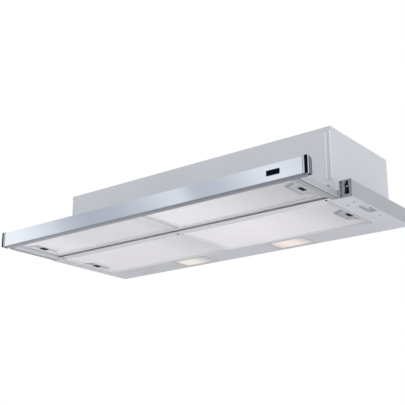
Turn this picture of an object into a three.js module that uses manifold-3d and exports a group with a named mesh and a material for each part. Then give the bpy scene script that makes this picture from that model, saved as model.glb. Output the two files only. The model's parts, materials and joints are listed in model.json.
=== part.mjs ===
// Pull out range hood, 90 cm: an upper body that stands in a wall cabinet, a wider base frame
// with two side wings, and a shallow drawer that slides out at the front on two rails.
// Millimetres. X runs to the right, Y to the back and Z up. The pieces are drawn with Y = 0 on
// the body's front and Z = 0 on the underside. The whole group is then moved so that its origin
// lies on the back face, at the level of the cabinet's underside.
import * as THREE from "three";
import { mergeVertices } from "three/addons/utils/BufferGeometryUtils.js";
import Module from "manifold-3d";

const wasm = await Module();
wasm.setup();

// ---------------------------------------------------------------- driving dimensions
const FRAME_WIDTH = 898; // base frame, over both wings
const WING_WIDTH = 50; // each wing, beside the upper body
const BODY_DEPTH = 267; // upper body, front to back
const BODY_TOP = 174; // top of the upper body above the underside
const BASE_HEIGHT = 38; // wings, underside to cabinet seat
const WING_NOSE = 15; // wings' front ahead of the body's front
const SHEET = 1; // folded steel of body, wings and drawer
const BASE_SHEET = 1.2; // base plate and crossbar
const FIT = 0.3; // clearance between pieces that touch
const RUN = 0.6; // clearance between pieces that move past each other

const UPSTAND_TOP = 50; // top of the upstand that the body stands on
const CORNER_FLANGE = 15; // side panels' fold on to the front
const PANEL_SET_BACK = 0.4; // front panel behind those folds

const BAY_MARGIN_LEFT = 33.5; // base plate beside the rear filters
const BAY_MARGIN_RIGHT = 57.5;
const BAY_MARGIN_REAR = 80;
const CROSSBAR_NOSE = 26; // crossbar's front ahead of the body's front
const CROSSBAR_DEPTH = 24;
const REAR_DIVIDER_OFFSET = 1; // to the right of the bay's middle
const REAR_DIVIDER_WIDTH = 1.8;

const TRAVEL = 148; // drawer, pushed in to pulled out
const CLOSED_GAP = 2; // wings to the fascia's lip, pushed in
const DRAWER_LIFT = 1; // drawer's underside above the rear filters
const DUCT_GAP = 3.5; // front filters to the drawer's top
const SKIRT_MARGIN_LEFT = 3; // drawer's skirts inside the frame's ends
const SKIRT_MARGIN_RIGHT = 31.5;
const FLANGE_LEFT = 29; // widths of the flanges folded in under the drawer's sides
const FLANGE_RIGHT = 18.5;
const DRAWER_LAP = 14; // drawer's rear edge over the crossbar, pulled out
const DRAWER_BAR = 16; // bar between the two front filters
const DRAWER_MARGIN_LEFT = 7; // frame outside the front filters
const DRAWER_MARGIN_RIGHT = 6.5;
const DRAWER_MARGIN_FRONT = 2;
const DRAWER_MARGIN_REAR = 3;

const FASCIA_DEPTH = 23; // front face to the lip's rear edge
const FASCIA_BOTTOM = 1.6;
const FASCIA_HEIGHT = 36.2;
const FASCIA_HEM = 4.4;
const FASCIA_RETURN = 16; // fold at the top, front to back
const CAP_WIDTH = 10.4; // end caps, along X
const CAP_DEPTH = 20;
const CAP_SHOULDER = 8; // round at the caps' top rear
const CAP_NOSE = 2;
const CAP_PROUD = 0.8; // caps stand this far before and above the fascia
const SPIGOT = 12; // caps' reach into the fascia
const BADGE = { fromEnd: 78.2, z: 19.4, width: 30.4, height: 11, thick: 0.9 };

const FILTER_HEIGHT = 6;
const FILTER_SHEET = 0.8;
const FILTER_RIM = 6;
const FILTER_CORNER = 6;
const LATCH_LONG = 92; // pocket, outer side
const LATCH_SHORT = 66; // pocket, inner side
const LATCH_WIDTH = 27;
const LATCH_DEPTH = 2.6;
const LATCH_TRAVEL = 5;
const LATCH_OFFSET = 9; // pocket behind the filter's middle, rear filters
const KNOB = { x: 9, y: 26, z: 2, stemX: 4, stemY: 12, keeperY: 18 };

const LAMP_SPREAD = 152; // lamp centres either side of the middle
const LAMP = { width: 96, depth: 55, fromBack: 42.5, flange: 3, wall: 1.5, boxHeight: 31 };
const BULB = { radius: 12, cap: 7, length: 52, socket: 10, socketLength: 20 };

const FACE_WIDTH = 27; // control face plate at the right wing's front
const FACE_THICK = 3;
const SLIDER_RECESS = 1.5;
const SLIDER_PROUD = 0.6;
const STEM = 2.4; // slider stems, across
const LIGHT_SLIDER = { fromEnd: 10.7, width: 8.2, fromTop: 13, tall: 4, travel: 6 };
const SPEED_SLIDER = { fromEnd: 10, width: 8.8, z: 6.8, tall: 8.4, travel: 8 };
const SWITCH_DEPTH = 50; // switch housing behind the face plate
const SERVICE_POCKET = { fromEnd: 15.5, y: 85.5, width: 18, length: 52, rim: 1.5, depth: 3 };
const MICROSWITCH = { width: 8, length: 20, fromBack: 12, clear: 2 };

const RAIL_END_GAP = 5; // fixed members inside the body, both ends
const RAIL_DEPTH = 6.5; // fixed members' section, out from the body's side
const RAIL_STEP = 1.5; // each member's section inside the next larger one
const RAIL_MIDDLE_NOSE = 5; // middle members' front ahead of the body's
const RAIL_MIDDLE_LENGTH = 180;
const ARM_END_GAP = 24; // arms' rear before the body's back, pushed in
const ARM_OFFSET = 11.5; // arms' tall plate, far face from the body's side
const ARM_CLEAR = 1.5; // arms' top below the wing's top plate

const SCROLL = { fromBack: 162, z: 98, start: 56, end: 78, width: 110, wall: 2, tongue: 65 };
const MOUTH_FLANGE = 8; // scroll's flange below the top panel
const INLET_RADIUS = 42;
const WHEEL = { radius: 50, width: 88, disc: 2, bladeDepth: 7, blade: 1, lean: 30, hub: 9 };
const BLADES = 24;
const SHAFT_RADIUS = 4;
const MOTOR = { radius: 42, length: 54, gap: 7, shoulder: 8 };
const BRACKET = { thick: 1.5, leg: 4, legs: 3 };
const CAPACITOR = { x: -180, z: 120, radius: 14, length: 60 };
const TERMINAL_BOX = { x: 185, z: 135, width: 70, depth: 40, height: 50 };
const GLAND = { radius: 8, collar: 4, below: 6, above: 9 };

const DUCT_RADIUS = 60; // collar's outer radius, for 120 mm duct
const DUCT_WALL = 2;
const DUCT_HEIGHT = 40;
const DUCT_FLANGE = 14;
const FLAP_LEVEL = 10; // flaps' plane above the body's top
const FLAP_THICK = 1.2;
const FLAP_OFFSET = 2.6; // hinge lines either side of the pin
const PIN_RADIUS = 1.5;

// ---------------------------------------------------------------- finishes
const finish = (color, roughness, metalness) =>
  new THREE.MeshStandardMaterial({ color, roughness, metalness });
const greyPaint = () => finish(0xb9bdc4, 0.5, 0.2);
const darkPaint = () => finish(0x8f949c, 0.5, 0.2);
const brushedSteel = () => finish(0xc4cad3, 0.35, 1);
const zinc = () => finish(0xb4b8bc, 0.4, 0.9);
const aluminium = () => finish(0xd6d8da, 0.45, 0.8);
const blackPlastic = () => finish(0x17181b, 0.5, 0);
const greyPlastic = () => finish(0x6f747c, 0.55, 0);
const warmLens = () => finish(0xfff1dc, 0.4, 0);
const bulbGlass = () => finish(0xfff4e2, 0.2, 0);
const whitePlastic = () => finish(0xd9dadb, 0.5, 0);

// ---------------------------------------------------------------- shapes
// A closed geometry as a solid that can be joined and cut.
function solid(geometry) {
  const bare = geometry.clone();
  bare.deleteAttribute("normal");
  bare.deleteAttribute("uv");
  const merged = mergeVertices(bare, 1e-4);
  return new wasm.Manifold(
    new wasm.Mesh({
      numProp: 3,
      vertProperties: merged.attributes.position.array,
      triVerts: new Uint32Array(merged.index.array),
    }),
  );
}

// A box from its low and high corners.
function block(x0, x1, y0, y1, z0, z1) {
  const box = new THREE.BoxGeometry(x1 - x0, y1 - y0, z1 - z0);
  return solid(box.translate((x0 + x1) / 2, (y0 + y1) / 2, (z0 + z1) / 2));
}

const union = (...solids) => solids.reduce((a, b) => a.add(b));
const cut = (body, ...tools) => tools.reduce((a, b) => a.subtract(b), body);

// Outlines: a list of points, or a THREE.Shape.
function outline(points) {
  return points instanceof THREE.Shape
    ? points
    : new THREE.Shape(points.map(([u, v]) => new THREE.Vector2(u, v)));
}

function extrude(shape, depth, basis, start) {
  const geometry = new THREE.ExtrudeGeometry(outline(shape), {
    depth,
    bevelEnabled: false,
    curveSegments: 6,
  });
  return solid(geometry.applyMatrix4(basis).translate(...start));
}

// An outline in X and Y, carried up from z0 to z1.
const alongZ = (shape, z0, z1) =>
  extrude(shape, z1 - z0, new THREE.Matrix4(), [0, 0, z0]);

// An outline in Y and Z, carried to the right from x0 to x1.
function alongX(shape, x0, x1) {
  const basis = new THREE.Matrix4().makeBasis(
    new THREE.Vector3(0, 1, 0),
    new THREE.Vector3(0, 0, 1),
    new THREE.Vector3(1, 0, 0),
  );
  return extrude(shape, x1 - x0, basis, [x0, 0, 0]);
}

// A rectangle with round corners, in X and Y.
function roundedRect(x0, x1, y0, y1, r) {
  const shape = new THREE.Shape();
  shape.moveTo(x0 + r, y0);
  shape.lineTo(x1 - r, y0);
  shape.absarc(x1 - r, y0 + r, r, -Math.PI / 2, 0);
  shape.lineTo(x1, y1 - r);
  shape.absarc(x1 - r, y1 - r, r, 0, Math.PI / 2);
  shape.lineTo(x0 + r, y1);
  shape.absarc(x0 + r, y1 - r, r, Math.PI / 2, Math.PI);
  shape.lineTo(x0, y0 + r);
  shape.absarc(x0 + r, y0 + r, r, Math.PI, 1.5 * Math.PI);
  return shape;
}

// A turned piece about Z: radii and heights, from the axis back to the axis or closed.
function turned(profile, segments = 32) {
  const points = profile.map(([r, z]) => new THREE.Vector2(r, z));
  const lathe = new THREE.LatheGeometry(points, segments);
  return solid(lathe.rotateX(Math.PI / 2));
}

// The same, laid along X, with its heights running to the right.
const turnedX = (profile, segments) => turned(profile, segments).rotate([0, 90, 0]);

const rod = (radius, x0, x1, y, z, segments = 16) =>
  turnedX(
    [
      [0, x0],
      [radius, x0],
      [radius, x1],
      [0, x1],
    ],
    segments,
  ).translate([0, y, z]);

// ---------------------------------------------------------------- nodes
const hood = new THREE.Group();
hood.name = "range_hood";

function piece(name, body, material) {
  const made = body.getMesh();
  const geometry = new THREE.BufferGeometry();
  geometry.setAttribute("position", new THREE.BufferAttribute(made.vertProperties, 3));
  geometry.setIndex(new THREE.BufferAttribute(made.triVerts, 1));
  geometry.computeVertexNormals();
  const mesh = new THREE.Mesh(geometry, material);
  mesh.name = name;
  hood.add(mesh);
}

const sides = [
  { name: "left", sign: -1 },
  { name: "right", sign: 1 },
];
// A box given by distances from the middle plane, on the side that sign names.
function sideBlock(sign, near, far, y0, y1, z0, z1) {
  const [x0, x1] = sign > 0 ? [near, far] : [-far, -near];
  return block(x0, x1, y0, y1, z0, z1);
}

// ---------------------------------------------------------------- places
const halfFrame = FRAME_WIDTH / 2;
const halfBody = halfFrame - WING_WIDTH;
const wingFloor = BASE_SHEET + FIT;
const faceInner = halfFrame - FACE_WIDTH;
const faceBack = -WING_NOSE + FACE_THICK;
const bayLeft = -halfFrame + BAY_MARGIN_LEFT;
const bayRight = halfFrame - BAY_MARGIN_RIGHT;
const bayRear = BODY_DEPTH - BAY_MARGIN_REAR;
const dividerX = (bayLeft + bayRight) / 2 + REAR_DIVIDER_OFFSET;
const crossbarRear = CROSSBAR_DEPTH - CROSSBAR_NOSE;
const rearFilterFront = crossbarRear + RUN;
const drawerBottom = FILTER_HEIGHT + DRAWER_LIFT;
const drawerTop = drawerBottom + FILTER_HEIGHT + DUCT_GAP;
const drawerRear = DRAWER_LAP - CROSSBAR_NOSE;
const skirtLeft = -halfFrame + SKIRT_MARGIN_LEFT;
const skirtRight = halfFrame - SKIRT_MARGIN_RIGHT;
const sideBottom = drawerTop + SHEET;
const lipRear = -WING_NOSE - CLOSED_GAP - TRAVEL;
const fasciaFront = lipRear - FASCIA_DEPTH;
const fasciaTop = FASCIA_BOTTOM + FASCIA_HEIGHT;
const lampY = BODY_DEPTH - LAMP.fromBack;
const scrollY = BODY_DEPTH - SCROLL.fromBack;

// ---------------------------------------------------------------- base frame
function lampWindow(sign, grow, z0, z1) {
  const halfWidth = LAMP.width / 2 + grow;
  const halfDepth = LAMP.depth / 2 + grow;
  const x = sign * LAMP_SPREAD;
  return block(
    x - halfWidth,
    x + halfWidth,
    lampY - halfDepth,
    lampY + halfDepth,
    z0,
    z1,
  );
}

function basePlate() {
  const below = -1;
  const above = BASE_SHEET + 1;
  const plate = block(-halfFrame, halfFrame, -WING_NOSE, BODY_DEPTH, 0, BASE_SHEET);
  const bay = block(bayLeft, bayRight, -WING_NOSE - 1, bayRear, below, above);
  const faceNotch = block(
    faceInner - FIT,
    halfFrame + 1,
    -WING_NOSE - 1,
    faceBack + FIT,
    below,
    above,
  );
  const pocket = pocketOutline(0);
  const lamps = sides.map(({ sign }) => lampWindow(sign, FIT, below, above));
  const opened = cut(plate, bay, faceNotch, ...lamps);
  return cut(opened, alongZ(pocket, below, above));
}

// The service pocket seen from below, grown by a margin.
function pocketOutline(grow) {
  const x = halfFrame - SERVICE_POCKET.fromEnd;
  const halfX = SERVICE_POCKET.width / 2 + grow;
  const halfY = SERVICE_POCKET.length / 2 + grow;
  const y = SERVICE_POCKET.y;
  return roundedRect(x - halfX, x + halfX, y - halfY, y + halfY, FILTER_CORNER / 2);
}

// The tray that closes the service pocket from above.
function servicePanel() {
  const top = wingFloor + SERVICE_POCKET.depth;
  const tray = alongZ(pocketOutline(SERVICE_POCKET.rim), wingFloor, top);
  return cut(tray, alongZ(pocketOutline(0), wingFloor - 1, top - SHEET));
}

function wingShell(sign) {
  const outer = halfFrame;
  const inner = halfBody + FIT;
  const wallFront = sign > 0 ? faceBack + FIT : -WING_NOSE;
  const frontFar = sign > 0 ? faceInner - FIT : outer;
  const topFar = sign > 0 ? faceInner - FIT : outer;
  const wall = sideBlock(
    sign,
    outer - SHEET,
    outer,
    wallFront,
    BODY_DEPTH,
    wingFloor,
    BASE_HEIGHT,
  );
  const seat = union(
    sideBlock(sign, inner, outer, wallFront, BODY_DEPTH, BASE_HEIGHT - SHEET, BASE_HEIGHT),
    sideBlock(sign, inner, topFar, -WING_NOSE, 0, BASE_HEIGHT - SHEET, BASE_HEIGHT),
  );
  const front = sideBlock(
    sign,
    inner,
    frontFar,
    -WING_NOSE,
    -WING_NOSE + SHEET,
    sideBottom,
    BASE_HEIGHT,
  );
  const back = sideBlock(
    sign,
    inner,
    outer,
    BODY_DEPTH - SHEET,
    BODY_DEPTH,
    wingFloor,
    BASE_HEIGHT,
  );
  return union(wall, seat, front, back);
}

// A channel whose floor reaches forward under the fascia's lip when the drawer is in.
function frontCrossbar() {
  const left = bayLeft + FIT;
  const right = bayRight - FIT;
  const wallFront = lipRear + TRAVEL + RUN;
  const outside = block(left, right, wallFront, crossbarRear, 0, FILTER_HEIGHT);
  const channel = block(
    bayLeft,
    bayRight,
    wallFront + BASE_SHEET,
    crossbarRear - BASE_SHEET,
    BASE_SHEET,
    FILTER_HEIGHT + 1,
  );
  const nose = block(left, right, -CROSSBAR_NOSE, wallFront + BASE_SHEET, 0, BASE_SHEET);
  return union(cut(outside, channel), nose);
}

piece("base_plate", basePlate(), greyPaint());
piece("service_panel", servicePanel(), greyPaint());
for (const { name, sign } of sides)
  piece("wing_shell_" + name, wingShell(sign), darkPaint());
piece("front_crossbar", frontCrossbar(), greyPaint());
piece(
  "rear_filter_divider",
  block(
    dividerX - REAR_DIVIDER_WIDTH / 2,
    dividerX + REAR_DIVIDER_WIDTH / 2,
    rearFilterFront,
    bayRear - FIT,
    RUN,
    FILTER_HEIGHT,
  ),
  greyPaint(),
);

// ---------------------------------------------------------------- upper body
const innerWall = halfBody - SHEET - FIT; // half width of the panels between the sides
const ductY = scrollY + (SCROLL.end + SCROLL.start * Math.cos(radians(SCROLL.tongue))) / 2;

function radians(degrees) {
  return (degrees * Math.PI) / 180;
}

function sidePanel(sign) {
  const wall = sideBlock(
    sign,
    halfBody - SHEET,
    halfBody,
    0,
    BODY_DEPTH,
    sideBottom,
    BODY_TOP,
  );
  const fold = sideBlock(
    sign,
    halfBody - CORNER_FLANGE,
    halfBody,
    0,
    SHEET,
    UPSTAND_TOP + FIT,
    BODY_TOP,
  );
  return union(wall, fold);
}

function topPanel() {
  const sheet = block(
    -innerWall,
    innerWall,
    PANEL_SET_BACK + SHEET + FIT,
    BODY_DEPTH - SHEET - FIT,
    BODY_TOP - SHEET,
    BODY_TOP,
  );
  const hole = (radius, x, y) =>
    turned(
      [
        [0, BODY_TOP - 2 * SHEET],
        [radius, BODY_TOP - 2 * SHEET],
        [radius, BODY_TOP + SHEET],
        [0, BODY_TOP + SHEET],
      ],
      32,
    ).translate([x, y, 0]);
  return cut(
    sheet,
    hole(DUCT_RADIUS - DUCT_WALL, 0, ductY),
    hole(GLAND.radius + FIT, TERMINAL_BOX.x, glandY),
  );
}

const terminalBack = BODY_DEPTH - SHEET - FIT;
const glandY = terminalBack - TERMINAL_BOX.depth / 2;

piece(
  "front_upstand",
  block(-innerWall, innerWall, 0, SHEET, sideBottom, UPSTAND_TOP),
  greyPaint(),
);
piece(
  "body_front_panel",
  block(
    -halfBody + CORNER_FLANGE + FIT,
    halfBody - CORNER_FLANGE - FIT,
    PANEL_SET_BACK,
    PANEL_SET_BACK + SHEET,
    UPSTAND_TOP + FIT,
    BODY_TOP,
  ),
  greyPaint(),
);
for (const { name, sign } of sides)
  piece("body_side_panel_" + name, sidePanel(sign), greyPaint());
piece(
  "body_back_panel",
  block(
    -innerWall,
    innerWall,
    BODY_DEPTH - SHEET,
    BODY_DEPTH,
    wingFloor,
    BODY_TOP,
  ),
  greyPaint(),
);
piece("body_top_panel", topPanel(), greyPaint());

// ---------------------------------------------------------------- duct collar and flaps
const collarBase = BODY_TOP + FIT;
const boreRadius = DUCT_RADIUS - DUCT_WALL;
const flapZ = BODY_TOP + FLAP_LEVEL;

function ductCollar() {
  const ring = turned(
    [
      [boreRadius, collarBase],
      [DUCT_RADIUS + DUCT_FLANGE, collarBase],
      [DUCT_RADIUS + DUCT_FLANGE, collarBase + BASE_SHEET],
      [DUCT_RADIUS, collarBase + BASE_SHEET],
      [DUCT_RADIUS, collarBase + DUCT_HEIGHT],
      [boreRadius, collarBase + DUCT_HEIGHT],
      [boreRadius, collarBase],
    ],
    48,
  ).translate([0, ductY, 0]);
  const pin = rod(PIN_RADIUS, -boreRadius - 1, boreRadius + 1, ductY, flapZ, 8);
  return union(ring, pin);
}

// A half disc that hangs on the line FLAP_OFFSET from the pin, towards the back or the front.
function damperFlap(towards) {
  const radius = boreRadius - 2 * RUN;
  const start = Math.asin(FLAP_OFFSET / radius);
  const shape = new THREE.Shape();
  shape.absarc(0, 0, radius, start, Math.PI - start);
  const half = FLAP_THICK / 2;
  const flap = extrude(shape, FLAP_THICK, new THREE.Matrix4(), [0, 0, -half]);
  return flap.rotate([0, 0, towards > 0 ? 0 : 180]).translate([0, ductY, flapZ]);
}

piece("duct_collar", ductCollar(), zinc());
piece("damper_flap_rear", damperFlap(1), whitePlastic());
piece("damper_flap_front", damperFlap(-1), whitePlastic());

// ---------------------------------------------------------------- blower
const scrollTop = BODY_TOP - SHEET - RUN;

// The scroll's outline in Y and Z, moved out by a wall. The radius grows evenly from the
// tongue round to the back, and the outlet goes straight up.
function scrollOutline(wall, top) {
  const tongueY = SCROLL.start * Math.cos(radians(SCROLL.tongue)) - wall;
  const growth = (SCROLL.end - SCROLL.start) / (360 - SCROLL.tongue);
  const first = (Math.acos(tongueY / (SCROLL.start + wall)) * 180) / Math.PI;
  const steps = 28;
  const points = [[scrollY + tongueY, top]];
  for (let i = 0; i <= steps; i++) {
    const angle = first + ((360 - first) * i) / steps;
    const radius = SCROLL.start + growth * (angle - SCROLL.tongue) + wall;
    points.push([
      scrollY + radius * Math.cos(radians(angle)),
      SCROLL.z + radius * Math.sin(radians(angle)),
    ]);
  }
  points.push([scrollY + SCROLL.end + wall, top]);
  return points;
}

function blowerScroll() {
  const half = SCROLL.width / 2;
  const inside = half - SCROLL.wall;
  const tongueY = SCROLL.start * Math.cos(radians(SCROLL.tongue));
  const casing = alongX(scrollOutline(SCROLL.wall, scrollTop), -half, half);
  const mouth = block(
    -half - MOUTH_FLANGE,
    half + MOUTH_FLANGE,
    scrollY + tongueY - MOUTH_FLANGE,
    scrollY + SCROLL.end + MOUTH_FLANGE,
    scrollTop - SCROLL.wall,
    scrollTop,
  );
  const hollow = alongX(scrollOutline(0, scrollTop + 1), -inside, inside);
  const inlet = rod(INLET_RADIUS, inside - 1, half + 1, scrollY, SCROLL.z, 40);
  const shaftHole = rod(3 * SHAFT_RADIUS, -half - 1, -inside + 1, scrollY, SCROLL.z, 24);
  return cut(union(casing, mouth), hollow, inlet, shaftHole);
}

function impeller() {
  const half = WHEEL.width / 2;
  const inner = WHEEL.radius - WHEEL.bladeDepth;
  const left = -half + WHEEL.disc;
  const right = half - WHEEL.disc;
  const wheel = turnedX(
    [
      [SHAFT_RADIUS + FIT, -half],
      [WHEEL.radius, -half],
      [WHEEL.radius, left],
      [WHEEL.hub, left],
      [WHEEL.hub, -half / 2],
      [SHAFT_RADIUS + FIT, -half / 2],
      [SHAFT_RADIUS + FIT, -half],
    ],
    48,
  );
  const ring = turnedX(
    [
      [inner, right],
      [WHEEL.radius, right],
      [WHEEL.radius, half],
      [inner, half],
      [inner, right],
    ],
    48,
  );
  let body = union(wheel, ring);
  for (let i = 0; i < BLADES; i++) {
    const reach = (WHEEL.bladeDepth - WHEEL.blade) / 2;
    const thick = WHEEL.blade / 2;
    const ends = WHEEL.disc / 2;
    const blade = block(left - ends, right + ends, -reach, reach, -thick, thick);
    const turn = (360 * i) / BLADES;
    const place = [0, (WHEEL.radius + inner) / 2, 0];
    body = body.add(blade.rotate([WHEEL.lean, 0, 0]).translate(place).rotate([turn, 0, 0]));
  }
  return body.translate([0, scrollY, SCROLL.z]);
}

const scrollLeft = -SCROLL.width / 2;
const motorRight = scrollLeft - MOTOR.gap;
const motorLeft = motorRight - MOTOR.length;
const shaftLeft = motorLeft + MOTOR.shoulder;
const shaftRight = -WHEEL.width / 4 + SHEET;

function motorBody() {
  const r = MOTOR.radius;
  const shoulder = MOTOR.shoulder;
  const can = turnedX(
    [
      [0, motorLeft],
      [r - shoulder, motorLeft],
      [r, motorLeft + shoulder],
      [r, motorRight - shoulder],
      [r - shoulder, motorRight],
      [SHAFT_RADIUS + FIT, motorRight],
      [SHAFT_RADIUS + FIT, shaftLeft - FIT],
      [0, shaftLeft - FIT],
    ],
    32,
  );
  return can.translate([0, scrollY, SCROLL.z]);
}

// A plate on the motor's end with three legs to the scroll's left cheek.
function motorBracket() {
  const legCircle = MOTOR.radius - 2 * BRACKET.leg;
  const cheek = scrollLeft - FIT;
  const plateLeft = motorRight + FIT;
  const plateRight = plateLeft + BRACKET.thick;
  const plate = turnedX(
    [
      [3 * SHAFT_RADIUS, plateLeft],
      [MOTOR.radius, plateLeft],
      [MOTOR.radius, plateRight],
      [3 * SHAFT_RADIUS, plateRight],
      [3 * SHAFT_RADIUS, plateLeft],
    ],
    24,
  );
  let body = plate;
  for (let i = 0; i < BRACKET.legs; i++) {
    const leg = rod(BRACKET.leg, plateLeft + BRACKET.thick / 2, cheek, legCircle, 0, 8);
    body = body.add(leg.rotate([90 + (360 * i) / BRACKET.legs, 0, 0]));
  }
  return body.translate([0, scrollY, SCROLL.z]);
}

piece("blower_scroll", blowerScroll(), whitePlastic());
piece("impeller", impeller(), greyPlastic());
piece(
  "motor_shaft",
  rod(SHAFT_RADIUS, shaftLeft, shaftRight, scrollY, SCROLL.z, 16),
  zinc(),
);
piece("motor_body", motorBody(), zinc());
piece("motor_bracket", motorBracket(), zinc());

const capacitorY = terminalBack - CAPACITOR.radius;
piece(
  "motor_capacitor",
  rod(
    CAPACITOR.radius,
    CAPACITOR.x - CAPACITOR.length / 2,
    CAPACITOR.x + CAPACITOR.length / 2,
    capacitorY,
    CAPACITOR.z,
    24,
  ),
  whitePlastic(),
);
piece(
  "terminal_box",
  block(
    TERMINAL_BOX.x - TERMINAL_BOX.width / 2,
    TERMINAL_BOX.x + TERMINAL_BOX.width / 2,
    terminalBack - TERMINAL_BOX.depth,
    terminalBack,
    TERMINAL_BOX.z - TERMINAL_BOX.height / 2,
    TERMINAL_BOX.z + TERMINAL_BOX.height / 2,
  ),
  whitePlastic(),
);
piece(
  "cable_gland",
  turned(
    [
      [0, BODY_TOP - GLAND.below],
      [GLAND.radius, BODY_TOP - GLAND.below],
      [GLAND.radius, BODY_TOP + FIT],
      [GLAND.radius + GLAND.collar, BODY_TOP + FIT],
      [GLAND.radius + GLAND.collar, BODY_TOP + GLAND.above / 2],
      [GLAND.radius - SHEET, BODY_TOP + GLAND.above],
      [0, BODY_TOP + GLAND.above],
    ],
    24,
  ).translate([TERMINAL_BOX.x, glandY, 0]),
  blackPlastic(),
);

// ---------------------------------------------------------------- lamps
const lensTop = BASE_SHEET + FIT + SHEET;

function lampLens(sign) {
  const pane = lampWindow(sign, 0, 0, lensTop);
  const rim = lampWindow(sign, LAMP.flange, BASE_SHEET + FIT, lensTop);
  return union(pane, rim);
}

const boxFloor = lensTop + FIT;
const bulbZ = boxFloor + LAMP.boxHeight / 2;
const socketBottom = BULB.socketLength / 3; // thickness left behind the bulb's cap
const boxLeft = (sign) => sign * LAMP_SPREAD - LAMP.width / 2 - LAMP.flange;

// An open-bottomed box with a socket cup on its left wall.
function lampHousing(sign) {
  const top = boxFloor + LAMP.boxHeight;
  const x = boxLeft(sign);
  const mouth = x + BULB.socketLength;
  const box = lampWindow(sign, LAMP.flange, boxFloor, top);
  const inside = lampWindow(sign, LAMP.flange - LAMP.wall, boxFloor - 1, top - LAMP.wall);
  const cup = rod(BULB.socket, x + LAMP.wall / 2, mouth, lampY, bulbZ, 20);
  const bore = rod(BULB.cap + RUN, x + socketBottom, mouth + 1, lampY, bulbZ, 20);
  return cut(union(cut(box, inside), cup), bore);
}

function lampBulb(sign) {
  const steps = 4;
  const left = boxLeft(sign) + socketBottom + FIT;
  const neck = left + BULB.socketLength - socketBottom;
  const domeStart = left + BULB.length - BULB.radius;
  const profile = [
    [0, left],
    [BULB.cap, left],
    [BULB.cap, neck],
    [BULB.radius, neck + BULB.radius / 2],
    [BULB.radius, domeStart],
  ];
  for (let i = 1; i < steps; i++) {
    const angle = radians((90 * i) / steps);
    const out = BULB.radius * Math.sin(angle);
    profile.push([BULB.radius * Math.cos(angle), domeStart + out]);
  }
  profile.push([0, domeStart + BULB.radius]);
  return turnedX(profile, 20).translate([0, lampY, bulbZ]);
}

for (const { name, sign } of sides) {
  piece("lamp_lens_" + name, lampLens(sign), warmLens());
  piece("lamp_housing_" + name, lampHousing(sign), whitePlastic());
  piece("lamp_bulb_" + name, lampBulb(sign), bulbGlass());
}

// ---------------------------------------------------------------- controls
const lightSlider = placed(LIGHT_SLIDER, BASE_HEIGHT - LIGHT_SLIDER.fromTop);
const speedSlider = placed(SPEED_SLIDER, SPEED_SLIDER.z);

function placed(slider, z) {
  const x = halfFrame - slider.fromEnd;
  return { ...slider, x, z, middle: z + slider.tall / 2 };
}

// The room that a slider's knob takes over its travel, from front to back.
function knobRoom(slider, grow, y0, y1) {
  const half = slider.width / 2 + grow;
  const top = slider.z + slider.tall + slider.travel + grow;
  return block(slider.x - half, slider.x + half, y0, y1, slider.z - grow, top);
}

// The same for its stem.
function stemRoom(slider, grow, y0, y1) {
  const half = STEM / 2 + grow;
  const top = slider.middle + slider.travel + half;
  return block(slider.x - half, slider.x + half, y0, y1, slider.middle - half, top);
}

function controlFaceplate() {
  const front = -WING_NOSE;
  let plate = block(faceInner, halfFrame, front, faceBack, 0, BASE_HEIGHT);
  for (const slider of [lightSlider, speedSlider])
    plate = cut(
      plate,
      knobRoom(slider, RUN, front - 1, front + SLIDER_RECESS),
      stemRoom(slider, RUN, front, faceBack + 1),
    );
  return plate;
}

const stemReach = FACE_THICK; // stems' reach into the switch housing

function controlHousing() {
  const front = faceBack + FIT;
  const mouth = front + stemReach + RUN;
  let box = block(
    faceInner + SHEET,
    halfFrame - SHEET - FIT,
    front,
    front + SWITCH_DEPTH,
    wingFloor + FIT,
    BASE_HEIGHT - SHEET - FIT,
  );
  for (const slider of [lightSlider, speedSlider])
    box = cut(box, stemRoom(slider, 1.5 * RUN, front - 1, mouth));
  return box;
}

function switchSlider(slider) {
  const knobBack = -WING_NOSE + SLIDER_RECESS - FIT;
  const still = { ...slider, travel: 0 };
  return union(
    knobRoom(still, 0, -WING_NOSE - SLIDER_PROUD, knobBack),
    stemRoom(still, 0, knobBack - FIT, faceBack + stemReach),
  );
}

piece("control_faceplate", controlFaceplate(), greyPlastic());
piece("control_housing", controlHousing(), blackPlastic());
piece("light_slider", switchSlider(lightSlider), blackPlastic());
piece("speed_slider", switchSlider(speedSlider), blackPlastic());
piece(
  "drawer_microswitch",
  block(
    halfBody + ARM_OFFSET + MICROSWITCH.clear,
    halfBody + ARM_OFFSET + MICROSWITCH.clear + MICROSWITCH.width,
    BODY_DEPTH - MICROSWITCH.fromBack - MICROSWITCH.length,
    BODY_DEPTH - MICROSWITCH.fromBack,
    sideBottom + ARM_OFFSET / 2,
    BASE_HEIGHT - SHEET - FIT,
  ),
  blackPlastic(),
);

// ---------------------------------------------------------------- slide rails
// A C section: near and far faces from the body's side, open towards the far or the near face.
function railMember(sign, near, far, inset, webAtFar, y0, y1) {
  const z0 = sideBottom + SHEET + inset;
  const z1 = BASE_HEIGHT - 3 * SHEET - inset;
  const outside = sideBlock(sign, halfBody + near, halfBody + far, y0, y1, z0, z1);
  const [openNear, openFar] = webAtFar ? [near - 1, far - SHEET] : [near + SHEET, far + 1];
  const channel = sideBlock(
    sign,
    halfBody + openNear,
    halfBody + openFar,
    y0 - 1,
    y1 + 1,
    z0 + SHEET,
    z1 - SHEET,
  );
  return cut(outside, channel);
}

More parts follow.
